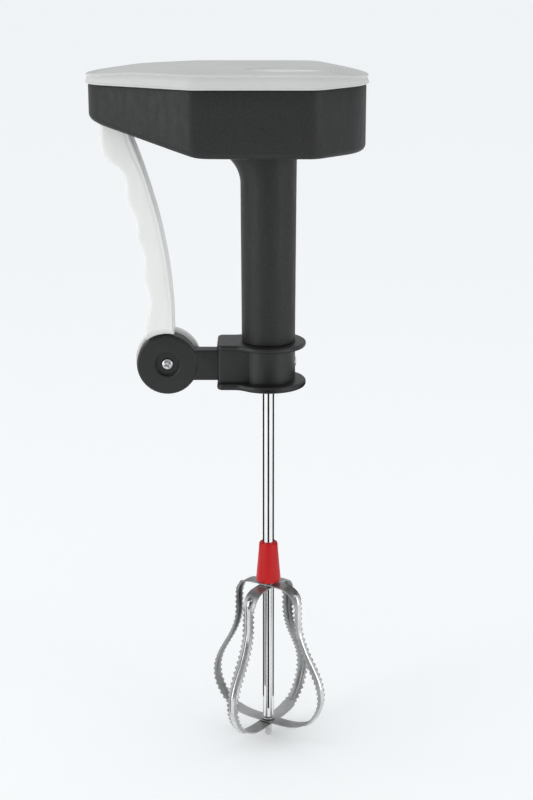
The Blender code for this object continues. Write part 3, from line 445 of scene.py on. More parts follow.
class Finish:
    """A material whose colour, roughness and bump come from procedural nodes."""

    def __init__(self, name, **constants):
        self.material = bpy.data.materials.new(name)
        self.material.use_nodes = True
        self.nodes = self.material.node_tree.nodes
        self.links = self.material.node_tree.links
        self.shader = self.nodes["Principled BSDF"]
        for socket, value in constants.items():
            self.shader.inputs[socket.replace("_", " ")].default_value = value
        self.place = self.nodes.new("ShaderNodeTexCoord").outputs["Object"]
        self.normal = None

    def node(self, kind, **inputs):
        made = self.nodes.new(kind)
        for key, value in inputs.items():
            if isinstance(value, bpy.types.NodeSocket):
                self.links.new(value, made.inputs[key])
            else:
                made.inputs[key].default_value = value
        return made

    def stretched(self, x, y, z):
        """Object coordinates, scaled along each axis."""
        return self.node("ShaderNodeMapping", Vector=self.place, Scale=(x, y, z)).outputs["Vector"]

    def noise(self, scale, detail=3.0, roughness=0.55, place=None):
        made = self.node("ShaderNodeTexNoise", Vector=place or self.place, Scale=scale,
                         Detail=detail, Roughness=roughness)
        return made.outputs["Fac"]

    def cells(self, scale):
        made = self.node("ShaderNodeTexVoronoi", Vector=self.place, Scale=scale)
        return made.outputs["Distance"]

    def ranged(self, value, low, high):
        """A noise's usual range, turned into low to high."""
        made = self.node("ShaderNodeMapRange", Value=value)
        set_range(made, 0.3, 0.7, low, high)
        return made.outputs["Result"]

    def mixed(self, factor, first, second):
        made = self.node("ShaderNodeMix", Factor=factor)
        made.data_type = "RGBA"
        for index, colour in ((6, first), (7, second)):
            if isinstance(colour, bpy.types.NodeSocket):
                self.links.new(colour, made.inputs[index])
            else:
                made.inputs[index].default_value = (*colour, 1.0)
        return made.outputs[2]

    def colour(self, socket):
        self.links.new(socket, self.shader.inputs["Base Color"])

    def tones(self, noise, dark, light):
        """Colour that a noise takes from one tone to the other."""
        self.colour(self.mixed(self.ranged(noise, 0.0, 1.0), dark, light))

    def roughness(self, noise, low, high):
        self.links.new(self.ranged(noise, low, high), self.shader.inputs["Roughness"])

    def bump(self, height, strength, distance):
        """Adds bumps of the given depth, in metres, on top of those already there."""
        made = self.node("ShaderNodeBump", Height=height, Strength=strength, Distance=distance)
        if self.normal is not None:
            self.links.new(self.normal, made.inputs["Normal"])
        self.normal = made.outputs["Normal"]
        self.links.new(self.normal, self.shader.inputs["Normal"])


def moulded_black(name, gain, specular, smooth_end, rough_end):
    """Spark-textured black plastic: matte, with a fine grain and faint handling marks."""
    finish = Finish(name, Specular_IOR_Level=specular)
    patches = finish.noise(55.0, 4.0)
    grain = finish.noise(1250.0, 3.0)
    low, high, speck = ([gain * level] * 3 for level in (0.0065, 0.010, 0.030))
    tone = finish.mixed(finish.ranged(patches, 0.0, 1.0), low, high)
    finish.colour(finish.mixed(finish.ranged(grain, 0.0, 0.45), tone, speck))
    scuffs = finish.noise(1.0, 5.0, 0.7, finish.stretched(420.0, 420.0, 90.0))
    finish.roughness(scuffs, smooth_end, rough_end)
    finish.bump(grain, 0.5, 0.00010)
    finish.bump(finish.cells(1500.0), 0.35, 0.00004)
    return finish


def moulded_pale():
    """Satin pale grey plastic of the cover."""
    finish = Finish("moulded_pale", Specular_IOR_Level=0.3)
    patches = finish.noise(40.0, 4.0)
    finish.tones(patches, (0.60, 0.60, 0.595), (0.64, 0.64, 0.63))
    finish.roughness(finish.noise(260.0, 4.0), 0.36, 0.48)
    finish.bump(finish.noise(420.0, 2.0), 0.25, 0.00005)
    finish.bump(finish.noise(3000.0, 2.0), 0.2, 0.00002)
    return finish


def moulded_white(name="moulded_white", specular=0.45, smooth_end=0.30, rough_end=0.42):
    """Soft-gloss near-white plastic of the lever, with faint flow marks."""
    finish = Finish(name, Specular_IOR_Level=specular)
    flow = finish.noise(1.0, 4.0, 0.6, finish.stretched(160.0, 160.0, 35.0))
    finish.tones(flow, (0.83, 0.83, 0.815), (0.87, 0.87, 0.855))
    finish.roughness(finish.noise(320.0, 4.0), smooth_end, rough_end)
    finish.bump(flow, 0.2, 0.00010)
    finish.bump(finish.noise(2200.0, 2.0), 0.2, 0.00002)
    return finish


def moulded_red():
    """Satin red plastic of the collar."""
    finish = Finish("moulded_red", Specular_IOR_Level=0.3)
    flow = finish.noise(1.0, 4.0, 0.6, finish.stretched(300.0, 300.0, 80.0))
    finish.tones(flow, (0.50, 0.004, 0.005), (0.57, 0.006, 0.007))
    finish.roughness(finish.noise(500.0, 4.0), 0.34, 0.46)
    finish.bump(finish.noise(1500.0, 3.0), 0.12, 0.00002)
    return finish


def polished_rod():
    """Drawn and polished rod: mirror-like, with hairlines along its length and faint smears."""
    finish = Finish("polished_rod", Metallic=1.0)
    hairlines = finish.noise(1.0, 3.0, 0.6, finish.stretched(5000.0, 5000.0, 60.0))
    smears = finish.noise(90.0, 4.0)
    finish.tones(smears, (0.88, 0.875, 0.87), (0.95, 0.945, 0.94))
    finish.roughness(smears, 0.03, 0.09)
    finish.bump(hairlines, 0.06, 0.00001)
    return finish


def pressed_strip():
    """Stamped stainless strip: satin, with fine rolling lines and small dents."""
    finish = Finish("pressed_strip", Metallic=1.0)
    rolling = finish.noise(1.0, 3.0, 0.6, finish.stretched(1800.0, 1800.0, 160.0))
    patches = finish.noise(130.0, 4.0)
    finish.tones(patches, (0.38, 0.38, 0.38), (0.51, 0.51, 0.51))
    finish.roughness(patches, 0.38, 0.52)
    finish.bump(rolling, 0.25, 0.00003)
    finish.bump(finish.noise(700.0, 3.0), 0.2, 0.00003)
    return finish


def bead_crest_painted_highlight():
    """The bead's crown: glossier than the strip, and lighter in colour as a painted highlight."""
    finish = Finish("bead_crest_painted_highlight", Metallic=1.0)
    highlight_patches = finish.noise(300.0, 4.0)
    # The light tones are a painted highlight along the bead's crown; the patches only vary them at
    # random.
    finish.tones(highlight_patches, (0.58, 0.58, 0.58), (0.78, 0.78, 0.78))
    finish.roughness(highlight_patches, 0.12, 0.24)
    finish.bump(finish.noise(900.0, 3.0), 0.15, 0.00002)
    return finish


def plated_steel(name="plated_steel", dark=(0.52, 0.52, 0.53), light=(0.74, 0.74, 0.75)):
    """Zinc-plated steel of the screws, pins and plate."""
    finish = Finish(name, Metallic=1.0)
    patches = finish.noise(350.0, 5.0, 0.65)
    finish.tones(patches, dark, light)
    finish.roughness(finish.noise(900.0, 4.0), 0.22, 0.42)
    finish.bump(finish.noise(1600.0, 3.0), 0.25, 0.00003)
    return finish


def turned_brass():
    """Brass with turning rings and a little tarnish."""
    finish = Finish("turned_brass", Metallic=1.0)
    rings = finish.noise(1.0, 2.0, 0.5, finish.stretched(60.0, 60.0, 5200.0))
    tarnish = finish.noise(240.0, 5.0, 0.6)
    finish.tones(tarnish, (0.50, 0.33, 0.12), (0.78, 0.57, 0.26))
    finish.roughness(tarnish, 0.40, 0.22)
    finish.bump(rings, 0.3, 0.00003)
    return finish


def moulded_gear():
    """Natural acetal: milky, slightly waxy."""
    finish = Finish("moulded_gear", Specular_IOR_Level=0.45)
    patches = finish.noise(120.0, 4.0)
    finish.tones(patches, (0.72, 0.70, 0.63), (0.80, 0.78, 0.72))
    finish.roughness(finish.noise(400.0, 4.0), 0.36, 0.50)
    finish.bump(finish.noise(1400.0, 3.0), 0.25, 0.00003)
    return finish


BLACK = moulded_black("moulded_black", 0.95, 0.40, 0.46, 0.60)
BRACKET_BLACK = moulded_black("bracket_black", 0.80, 0.44, 0.34, 0.46)
PALE = moulded_pale()
WHITE = moulded_white()
# The lens insert: its gloss is real, and its white, lighter than the cover, is a painted highlight.
LENS_HIGHLIGHT_WHITE = moulded_white("glossy_white_painted_highlight", 0.7, 0.07, 0.14)
RED = moulded_red()
ROD = polished_rod()
BLADE = pressed_strip()
# Finish of the bead's crown strips: its lighter colour is a painted highlight.
BEAD = bead_crest_painted_highlight()
PLATED = plated_steel()
DARK_STEEL = plated_steel("oiled_steel", (0.16, 0.16, 0.165), (0.30, 0.30, 0.31))
BRASS = turned_brass()
GEAR = moulded_gear()


# ---- housing and cover

def half_outline(grow):
    """The near half of the housing's outline, from the nose's tip to the back's."""
    taper = math.atan2(HALF_WIDTH, TAPER_X - NOSE_X)
    facet = math.atan2(HALF_WIDTH, BACK_X - FACET_X)
    half = HALF_WIDTH + grow
    taper_end = TAPER_X - grow * math.tan(taper / 2)
    facet_start = FACET_X + grow * math.tan(facet / 2)
    corners = [
        (NOSE_X - grow / math.sin(taper), 0.0, NOSE_ROUND + grow),
        (taper_end, -half, TAPER_ROUND + grow),
        (facet_start, -half, FACET_ROUND + grow),
        (BACK_X + grow / math.sin(facet), 0.0, BACK_ROUND + grow),
        (facet_start, half, FACET_ROUND + grow),
        (taper_end, half, TAPER_ROUND + grow),
    ]
    side = [
        corner_arc(corners, 0, 32)[16:], corner_arc(corners, 1, 8), corner_arc(corners, 2, 10),
        corner_arc(corners, 3, 48)[:25],
    ]
    line = []
    for arc, following, pieces in zip(side, side[1:], (36, 34, 10)):
        line += arc
        a, b = Vector(arc[-1]), Vector(following[0])
        line += [tuple(a.lerp(b, k / pieces)) for k in range(1, pieces)]
    return line + side[-1]


def outline_ring(grow, level):
    """The whole outline at a level, which may depend on x and y."""
    half = half_outline(grow)
    whole = half + [(x, -y) for x, y in half[-2:0:-1]]
    return [(x, y, level(x, y)) for x, y in whole]


def shell(rings, across_top=1, top_level=None):
    """Skins rings of the outline and fills both ends across the tool, the upper one to a level."""
    bm = bmesh.new()
    rows = placed(bm, rings)
    bridge(bm, rows)
    half = len(rows[0]) // 2
    for row, across, level in ((rows[0], 1, None), (rows[-1], across_top, top_level)):
        columns = []
        for i in range(half + 1):
            near = row[i]
            far = row[-i] if 0 < i < half else near
            if near is far:
                columns.append([near] * (across + 1))
                continue
            column = [near]
            for k in range(1, across):
                place = near.co.lerp(far.co, k / across)
                if level:
                    place.z = level(place.x / MM, place.y / MM) * MM
                column.append(bm.verts.new(place))
            columns.append([*column, far])
        for left, right in zip(columns, columns[1:]):
            for k in range(across):
                face(bm, left[k], right[k], right[k + 1], left[k + 1])
    return mesh_object("shell", bm)


def floor_level(x, lift=0.0):
    return BODY_BOTTOM + lift + SLOPE * ramp(SLOPE_START_X - x, SLOPE_BLEND)


def housing():
    """Housing and tube handle in one moulding."""
    rings = []
    for k in range(9):
        turn = math.radians(90 - 11.25 * k)
        inset = BOTTOM_ROUND * (1 - math.cos(turn))
        rise = BOTTOM_ROUND * (1 - math.sin(turn))
        rings.append(outline_ring(-inset, lambda x, y, rise=rise: floor_level(x, rise)))
    for share in (0.35, 0.7, 0.96):
        rings.append(outline_ring(0.0, lambda x, y, share=share: (
            floor_level(x, BOTTOM_ROUND) * (1 - share) + SEAM * share)))
    rings.append(outline_ring(-0.35, lambda x, y: SEAM))
    body = shell(rings)
    cavity = shell([
        outline_ring(-WALL, lambda x, y: floor_level(x, WALL)),
        outline_ring(-WALL, lambda x, y: SEAM + 4),
    ])
    neck = TUBE_TOP_RADIUS - 0.2
    levels = [
        (SPIGOT_END, SPIGOT_RADIUS), (TUBE_SHOULDER - 0.6, SPIGOT_RADIUS),
        (TUBE_SHOULDER - 0.2, TUBE_LOW_RADIUS - 0.6), (TUBE_SHOULDER, TUBE_LOW_RADIUS),
        (FLARE_LOW, neck),
    ]
    tube = [[(x, y, z) for x, y in circle(0, 0, r, 96)] for z, r in levels]
    for turn in range(4, 81, 4):
        swell = FLARE_RADIUS * (1 - math.cos(math.radians(turn)))
        z = FLARE_LOW + FLARE_RADIUS * math.sin(math.radians(turn))
        radius = neck + 0.0025 * turn
        tube.append([(x + swell * min(0.0, x / radius), y, z) for x, y in circle(0, 0, radius, 96)])
    tube.append([(x, y, FLOOR - 0.4) for x, y, _ in tube[-1]])
    bore = skin([[(x, y, z) for x, y in circle(0, 0, r, 64)] for z, r in TUBE_BORE])
    slot_from, slot_to, slot_half = LEVER_SLOT
    nose_corner, tube_corner = LEVER_SLOT_CORNERS
    slot = prism(rounded([
        (slot_from, -slot_half, nose_corner), (slot_to, -slot_half, tube_corner),
        (slot_to, slot_half, tube_corner), (slot_from, slot_half, nose_corner),
    ]), BODY_BOTTOM - 5, SEAM - 12)
    join(body, skin(tube))
    cut(body, cavity, bore, slot)
    for x, y in BOSSES:
        join(body, disc(x, y, BOSS_RADIUS, FLOOR - 1, BOSS_TOP, steps=32))
    seat_radius, seat_depth = COVER_SCREW_SEAT
    holes = []
    for x, y in COVER_SCREWS:
        holes.append(disc(x, y, COVER_SCREW_HOLE, BODY_BOTTOM - 1, FLOOR + 1, steps=24))
        holes.append(disc(x, y, seat_radius, BODY_BOTTOM - 1, BODY_BOTTOM + seat_depth, steps=32))
    cut(body, *holes)
    finished(body, "housing_shell", BLACK, "housing", "black_plastic", "gear_housing")


def lens_depth(x, y):
    """How deep the oval recess is in the cover: 1 inside it and 0 outside."""
    if not LENS_START < x < LENS_START + LENS_LENGTH:
        return 0.0
    t = (x - LENS_START) / LENS_LENGTH
    bow = math.sin(math.pi * t**1.15)
    back = -4.0 + 13.0 * bow**0.8
    front = -5.0 - 13.0 * bow**0.7
    return smoothstep(front - 0.5, front + 0.7, y) * (1 - smoothstep(back - 0.5, back + 0.5, y))


def cover_level(x, y, relief=True):
    """Height of the cover's top: level in the middle and falling to both ends."""
    fall = COVER_NOSE[1] * ramp(COVER_NOSE[0] - x, COVER_BLEND)
    fall += COVER_BACK[1] * ramp(x - COVER_BACK[0], COVER_BLEND)
    level = COVER_TOP - 0.02 - fall
    if not relief:
        return level
    lens = lens_depth(x, y)
    edge = 1 - smoothstep(24.0, 33.0, abs(y) + max(0.0, -60.0 - x) * 0.6)
    waves = math.sin(y * 0.62 + 1.7 * math.sin(x * 0.045 + y * 0.03))
    streaks = waves * (1 - smoothstep(-22.0, -6.0, x))
    return level - 0.45 - 0.95 * lens + 0.16 * streaks * edge


def cover():
    """Cover with a lip at the seam, a cove under its rounded rim and a shaped top."""
    side = [(0.95, 0.0), (1.22, 0.15), (1.28, 0.45), (1.25, 0.8), (1.05, 1.0)]
    rings = [outline_ring(LIP_IN, lambda x, y: COVER_LOW)]
    for grow, rise in side:
        rings.append(outline_ring(grow, lambda x, y, rise=rise: COVER_LOW + rise))
    ribs = [
        (1.12, -3.8), (1.02, -3.0), (0.80, -2.3), (0.50, -1.8), (0.38, -1.45), (0.46, -1.15),
        (0.72, -0.92), (0.94, -0.68), (1.02, -0.42), (0.94, -0.2), (0.70, -0.06), (0.3, 0.0),
        (-0.5, -0.03), (-1.2, -0.18), (-1.7, -0.45),
    ]
    for grow, drop in ribs:
        rings.append(outline_ring(grow, lambda x, y, drop=drop: cover_level(x, y, False) + drop))
    body = shell(rings, across_top=64, top_level=cover_level)
    under = shell([
        outline_ring(LIP_IN, lambda x, y: COVER_LOW - 2),
        outline_ring(LIP_IN, lambda x, y: cover_level(x, y, False) - COVER_ROOF),
    ])
    cut(body, under)
    finished(body, "cover_shell", PALE, "housing", "pale_plastic", "top_cover")


def cover_lip():
    """The wall that locates the cover inside the housing, and the posts its screws go into."""
    lip = shell([outline_ring(LIP_OUT, lambda x, y: z) for z in (SEAM - 3.0, COVER_LOW + 0.9)])
    cut(lip, shell([outline_ring(LIP_IN, lambda x, y: z) for z in (SEAM - 5, COVER_LOW + 3)]))
    for x, y in COVER_SCREWS:
        post = disc(x, y, POST_RADIUS, FLOOR + 1.0, COVER_TOP - 3.0, steps=32)
        cut(post, disc(x, y, COVER_SCREW_HOLE, FLOOR - 1, POST_BORE_TOP, steps=24))
        join(lip, post)
    finished(lip, "cover_lip", PALE, "housing", "pale_plastic")


def cover_lens():
    """Glossy insert that lies in the cover's oval recess, with a crowned top. Its white, lighter
    than the cover, is partly a painted highlight.
    """
    rings = []
    steps = 40
    crown = [(1.0, -0.35), (1.0, 0.50), (0.96, 0.66), (0.85, 0.78), (0.6, 0.88), (0.25, 0.94)]
    for share, rise in crown:
        ring = []
        for k in range(2 * steps):
            t = 0.5 - 0.5 * math.cos(math.pi * k / steps)
            side = -1.0 if k < steps else 1.0
            bulge = math.sin(math.pi * t**0.85) ** 0.6 if 0.0 < t < 1.0 else 0.0
            x = LENS_START + LENS_LENGTH / 2 + share * (LENS_LENGTH * t - LENS_LENGTH / 2)
            y = LENS_MIDDLE + side * LENS_HALF_WIDTH * bulge * share
            ring.append((x, y, cover_level(x, y, False) - LENS_BED + rise))
        rings.append(ring)
    finished(skin(rings), "cover_lens", LENS_HIGHLIGHT_WHITE, "housing", "white_plastic")


def cover_grip():
    """Small round bumps on the cover's falling end."""
    bm = bmesh.new()
    centre, radius = GRIP_ARC
    turns = [math.pi * n / 5 for n in range(10)]
    for row in range(GRIP_ROWS):
        x = GRIP_START + row * GRIP_PITCH * 0.86
        reach = min(19.0, 8.0 + (x - 27.0) * 2.4, math.sqrt(radius**2 - (x - centre) ** 2) - 1)
        for k in range(-12, 13):
            y = (k + 0.5 * (row % 2)) * GRIP_PITCH
            if abs(y) > reach or lens_depth(x - 2, y) > 0:
                continue
            low = cover_level(x, y) - 0.1
            rings = placed(bm, [
                [(x + r * math.cos(a), y + r * math.sin(a), low + rise) for a in turns]
                for r, rise in ((0.85, 0.0), (0.74, 0.26), (0.44, 0.46))
            ])
            top = bm.verts.new(Vector((x, y, low + 0.54)) * MM)
            bridge(bm, [*rings, [top] * len(turns)])
            bm.faces.new(rings[0][::-1])
    finished(mesh_object("grip", bm), "cover_grip_bumps", PALE, "housing", "pale_plastic")


# ---- screws and nut

def cross_screw(name, head_radius, head_height, shank_radius, shank_length, place, node):
    """Pan-head screw with a cross recess. The underside of its head is at height 0."""
    profile = [(0.0, head_height)]
    for k in range(1, 9):
        turn = math.radians(11 * k)
        profile.append((head_radius * math.sin(turn), head_height * (0.45 + 0.55 * math.cos(turn))))
    profile += [
        (head_radius, head_height * 0.4), (head_radius, 0.08), (head_radius - 0.08, 0.0),
        (shank_radius, 0.0),
    ]
    step = 0.5  # half the thread's pitch
    for k in range(int(shank_length / step) - 2):
        depth = 0.18 if k % 2 else 0.0
        profile.append((shank_radius - depth, -0.4 - step * k))
    profile += [(shank_radius * 0.35, -shank_length), (0.0, -shank_length)]
    screw = revolve(profile, 40)
    wide, narrow, deep = head_radius * 0.80, head_radius * 0.20, head_height * 1.1
    high, low = head_height + 0.3, head_height - deep
    slot = [(-wide, high), (wide, high), (wide * 0.3, low), (-wide * 0.3, low)]
    for turn in (0.0, math.pi / 2):
        bar = prism(slot, -narrow, narrow, along="Y")
        bar.data.transform(Matrix.Rotation(turn + 0.5, 4, "Z"))
        cut(screw, bar)
    screw.data.transform(place)
    finished(screw, name, PLATED, "housing", "steel", node)


def screws():
    """The screws whose heads show, each with its head radius and height and its shank."""
    for i, (x, y) in enumerate(COVER_SCREWS, 1):
        place = at(x, y, BODY_BOTTOM + 0.9, "-Z")
        cross_screw(f"cover_cross_screw_{i}", 2.8, 1.2, 1.4, 15.5, place, f"cover_screw_{i}")
    seat = DRUM_HALF - COUNTERBORE[1] + 0.3
    place = at(PIVOT_X, -seat, PIVOT_Z, "-Y")
    cross_screw("pivot_cross_screw", 2.8, 1.6, 1.6, 14.8, place, "pivot_screw")
    place = at(SLEEVE_RADIUS - 0.7, 0, BRACKET_SCREW_Z, "X")
    cross_screw("bracket_cross_screw", 2.5, 1.3, 1.2, 4.0, place, "bracket_screw")


def nut():
    """Hexagon nut with its corners turned off."""
    near, far = KNUCKLE_Y[1] + 0.6, KNUCKLE_Y[1] + 3.0
    body = prism(circle(PIVOT_X, PIVOT_Z, 4.6, 6), near, far, along="Y")
    profile = [(0.0, 1.3), (3.9, 1.3), (4.65, 0.8), (4.65, -0.8), (3.9, -1.3), (0.0, -1.3)]
    place = at(PIVOT_X, (near + far) / 2, PIVOT_Z, "-Y")
    boolean(body, "INTERSECT", revolve(profile, 48, place))
    cut(body, pivot_disc(PIVOT_SCREW_HOLE, near - 1, far + 1, 32))
    finished(body, "pivot_hex_nut", PLATED, "housing", "steel", "pivot_nut")


# ---- bracket and lever

def flange_outline():
    """A round plate that narrows, with a soft shoulder, to a square foot on the arm's side."""
    half = FLANGE_HALF_WIDTH
    foot = rounded([(BRACKET_LEFT, 0.0, 0.0), (BRACKET_LEFT, -half, 3.0), (-18.0, -half, 0.0)], 8)
    shoulder = smooth([
        (-18.0, -half), (-15.6, -half - 0.3), (-13.2, -half - 1.5), (-10.5, -half - 3.69),
    ], 5)
    near = foot[1:] + shoulder[1:-1]
    turns = [math.radians(a) for a in range(-120, 121, 3)]
    arc = [(FLANGE_RADIUS * math.cos(a), FLANGE_RADIUS * math.sin(a)) for a in turns]
    return near + arc + [(x, -y) for x, y in reversed(near)]


def bracket():
    """Two flanges round a sleeve, with an arm that carries the drum."""
    inner_low, inner_top = BRACKET_LOW + 1, BRACKET_TOP - 1
    body = disc(0, 0, SLEEVE_RADIUS, inner_low, inner_top, steps=96)
    flanges = [(BRACKET_LOW, LOW_FLANGE, 1.3), (BRACKET_TOP - TOP_FLANGE, TOP_FLANGE, 1.1)]
    for low, thickness, edge in flanges:
        join(body, bevelled(prism(flange_outline(), low, low + thickness), edge, 5))
    box = prism(rounded([
        (BRACKET_LEFT + 0.6, -BOX_HALF_WIDTH, 1.4), (0.0, -BOX_HALF_WIDTH, 0.0),
        (0.0, BOX_HALF_WIDTH, 0.0), (BRACKET_LEFT + 0.6, BOX_HALF_WIDTH, 1.4),
    ], 6), inner_low, inner_top)
    arm_from, arm_to = PIVOT_X + 8, BRACKET_LEFT + 3
    arm = prism([(arm_from, ARM_LOW), (arm_to, ARM_LOW), (arm_to, ARM_TOP), (arm_from, ARM_TOP)],
                -ARM_HALF, ARM_HALF, along="Y")
    drum = pivot_disc(DRUM_RADIUS, -DRUM_HALF, DRUM_HALF, 96)
    join(body, box, bevelled(arm, 1.1, 4), bevelled(drum, 1.3, 5, 60))

    front, rear = -DRUM_HALF - 1, DRUM_HALF + 1
    low, high = BRACKET_LOW + LOW_FLANGE, BRACKET_TOP + 1
    cut(body, disc(0, 0, SPIGOT_RADIUS + 0.3, low, high, steps=96))
    join(body, disc(0, 0, BUSH_SEAT[0], inner_low, BUSH_SEAT[1], steps=48))
    inside, outside = SPRING_POCKET
    pocket = pivot_disc(outside, -0.3, rear)
    cut(pocket, pivot_disc(inside, -2.0, rear + 1, 48))
    radius, depth = COUNTERBORE
    floor_y = -DRUM_HALF + depth
    profile = [
        (0.0, -front), (radius + 0.6, -front), (radius + 0.6, DRUM_HALF + 0.01),
        (radius, DRUM_HALF - 0.5), (radius, 0.4 - floor_y), (radius - 0.4, -floor_y),
        (0.0, -floor_y),
    ]
    screw_from, screw_to = SLEEVE_RADIUS - 1, SLEEVE_RADIUS + 2
    cut(
        body,
        disc(0, 0, BUSH_BORE, BRACKET_LOW - 1, BUSH_SEAT[1] + 1, steps=48),
        revolve(profile, 64, at(PIVOT_X, 0, PIVOT_Z, "-Y")),
        pivot_disc(PIVOT_SCREW_HOLE, front, rear, 32),
        pivot_disc(PIVOT_HOLE, floor_y + 1.2, rear, 48),
        pocket,
        disc(0, BRACKET_SCREW_Z, 1.5, SPIGOT_RADIUS - 1, screw_to, along="X", steps=24),
        disc(0, BRACKET_SCREW_Z, 2.9, screw_from, screw_to, along="X", steps=32),
    )
    finished(body, "bracket_body", BRACKET_BLACK, "housing", "black_plastic", "hinge_bracket")


def lever_lines():
    """The lever's scalloped outer line and its bowed inner line, both from the hinge upwards."""
    outer = smooth([
        (-62.2, 224.5), (-63.2, 231.0), (-62.8, 236.5), (-60.9, 242.0), (-60.6, 247.5),
        (-62.2, 253.5), (-63.6, 258.5), (-63.0, 263.0), (-62.8, 268.5), (-64.5, 274.0),
        (-66.4, 279.0), (-66.3, 284.5), (-67.9, 290.5), (-70.2, 295.0), (-71.3, 299.0),
        (-71.3, 304.8), (-72.6, 310.0), (-75.9, 314.0), (-79.9, 316.8), (-82.8, 320.4),
        (-83.9, 325.4), (-83.6, 330.6), (-83.3, 335.9),
    ], 6)
    inner = smooth([
        (-48.2, 224.5), (-48.3, 239.0), (-49.0, 251.0), (-50.4, 264.0), (-52.6, 277.0),
        (-55.4, 290.0), (-59.1, 303.0), (-63.9, 318.0), (-68.6, 330.6), (-70.6, 335.9),
    ], 8)
    return resampled(outer, 150), resampled(inner, 150)


def lever_section(outer, inner, half):
    """Points round the lever: round at the finger side, and stepped near the palm side."""
    middle = Vector(outer).lerp(Vector(inner), 0.5)
    across = (Vector(inner) - Vector(outer)) / 2
    places = [(middle + across * u, half * v) for u, v in LEVER_SECTION]
    near = [(place.x, -y, place.y) for place, y in places]
    far = [(place.x, y, place.y) for place, y in reversed(places[1:-1])]
    return near + far


def lever():
    """The grip with its knuckle on the pivot and the tongue that holds the drive pin."""
    outer, inner = lever_lines()
    narrow_from, narrow_over = LEVER_SPAN
    rings = []
    for near, far in zip(outer, inner):
        share = ((near[1] + far[1]) / 2 - narrow_from) / narrow_over
        half = LEVER_HALF + (LEVER_TOP_HALF - LEVER_HALF) * share
        rings.append(lever_section(near, far, half - 0.02))
    body = skin(rings)
    foot = revolve(LEVER_FOOT, 96, at(PIVOT_X, 0, PIVOT_Z, "-Y"))
    left, right, high = LEVER_CUT
    arc = []
    for degrees, radius in LEVER_TOP:
        turn = math.radians(degrees)
        arc.append((PIVOT_X + radius * math.sin(turn), PIVOT_Z + radius * math.cos(turn)))
    pocket = prism([(left, high), *arc, (right, high)], -6.7, 6.7, along="Y")
    crown = prism([(left, high), *LEVER_CROWN, (right, high)], -THROUGH, THROUGH, along="Y")
    knuckle = bevelled(pivot_disc(KNUCKLE_RADIUS, *KNUCKLE_Y, 96), 0.8, 3, 60)
    tongue = bevelled(prism(rounded([
        (-83.3, 322.0, 0.0), (-70.0, 322.0, 0.0), (-71.6, DRIVE_PIN_Z + 3.6, 2.6),
        (-79.8, DRIVE_PIN_Z + 3.6, 2.6), (-83.6, 335.2, 1.2),
    ], 6), -3.0, 3.0, along="Y"), 0.4, 2, 60)
    clearance = pivot_disc(KNUCKLE_RADIUS - 0.3, -THROUGH, THROUGH, 96)
    cut(body, clearance, foot, crown, pocket)
    join(body, knuckle, tongue)
    cut(
        body,
        pivot_disc(PIVOT_HOLE, -THROUGH, THROUGH),
        disc(DRIVE_PIN_X, DRIVE_PIN_Z, 1.8, -THROUGH, THROUGH, along="Y", steps=32),
    )
    finished(body, "lever_body", WHITE, "lever", "white_plastic", "squeeze_lever")


# ---- shaft and whisk

def shaft():
    """The polished rod, and the knurled tip that stands out of it."""
    tip = STUB_RADIUS - 0.1
    profile = [
        (0.0, SHAFT_TOP), (2.5, SHAFT_TOP), (2.9, SHAFT_TOP - 0.2), (SHAFT_RADIUS, SHAFT_TOP - 0.6),
        (SHAFT_RADIUS, 208.0), (SHAFT_RADIUS, COLLAR[1] + 4), (SHAFT_RADIUS, 50.0),
        (SHAFT_RADIUS, STUB_TOP + 0.35), (SHAFT_RADIUS - 0.35, STUB_TOP), (tip, STUB_TOP),
        (tip, KNURL_TOP), (0.0, KNURL_TOP),
    ]
    finished(revolve(profile, 72), "shaft_rod", ROD, "whisk", "polished_steel", "whisk_shaft")

    def knurl(angle, height):
        ridge = max(math.sin(12 * angle + height * 6.5), math.sin(12 * angle - height * 6.5))
        ends = smoothstep(0.25, 0.8, height), 1 - smoothstep(7.0, 7.6, height)
        return 0.09 * ridge * ends[0] * ends[1]

    rows = [(tip, 0.4 + 0.16 * k) for k in range(45)]
    end = [(0.0, 0.0), (STUB_RADIUS - 0.5, 0.0), (STUB_RADIUS - 0.25, 0.2)]
    profile = [*end, *rows, (0.0, rows[-1][1])]
    stub = revolve(list(reversed(profile)), 96, shape=knurl)
    finished(stub, "shaft_knurled_tip", PLATED, "whisk", "polished_steel")


def collar():
    """Red collar, wider towards the whisk, with rounded edges."""
    low, top = COLLAR
    bore = SHAFT_RADIUS + 0.05
    profile = [
        (bore, top - 0.25), (3.3, top - 0.05), (3.8, top), (4.2, top - 0.03), (4.5, top - 0.16),
        (4.72, top - 0.42), (4.86, top - 0.85), (4.95, top - 1.6), (5.03, top - 3.0),
        (6.5, low + 2.2), (6.55, low + 1.5), (6.52, low + 0.8), (6.4, low + 0.35),
        (6.2, low + 0.1), (5.9, low), (bore, low),
    ]
    turned = revolve(profile, 72)
    finished(turned, "collar_body", RED, "whisk", "red_plastic", "whisk_collar")


def blade_line():
    """Centreline of half a loop, from the top down, and of the whole loop."""
    side = smooth([
        (0.0, 89.3), (7.0, 89.3), (12.5, 88.6), (16.6, 86.0), (18.7, 81.5), (19.0, 75.0),
        (19.2, 68.0), (20.8, 61.0), (24.2, 53.5), (28.3, 46.5), (32.0, 39.5), (33.9, 32.5),
        (33.4, 25.5), (30.2, 18.6), (25.0, 13.2), (18.5, 10.2), (12.0, 9.2), (6.0, 9.0),
        (0.0, 9.0),
    ], 6)
    side = resampled(side, round(lengths_along(side)[-1] / TOOTH_PITCH) * 4)
    return side, side + [(-r, z) for r, z in side[-2:0:-1]]


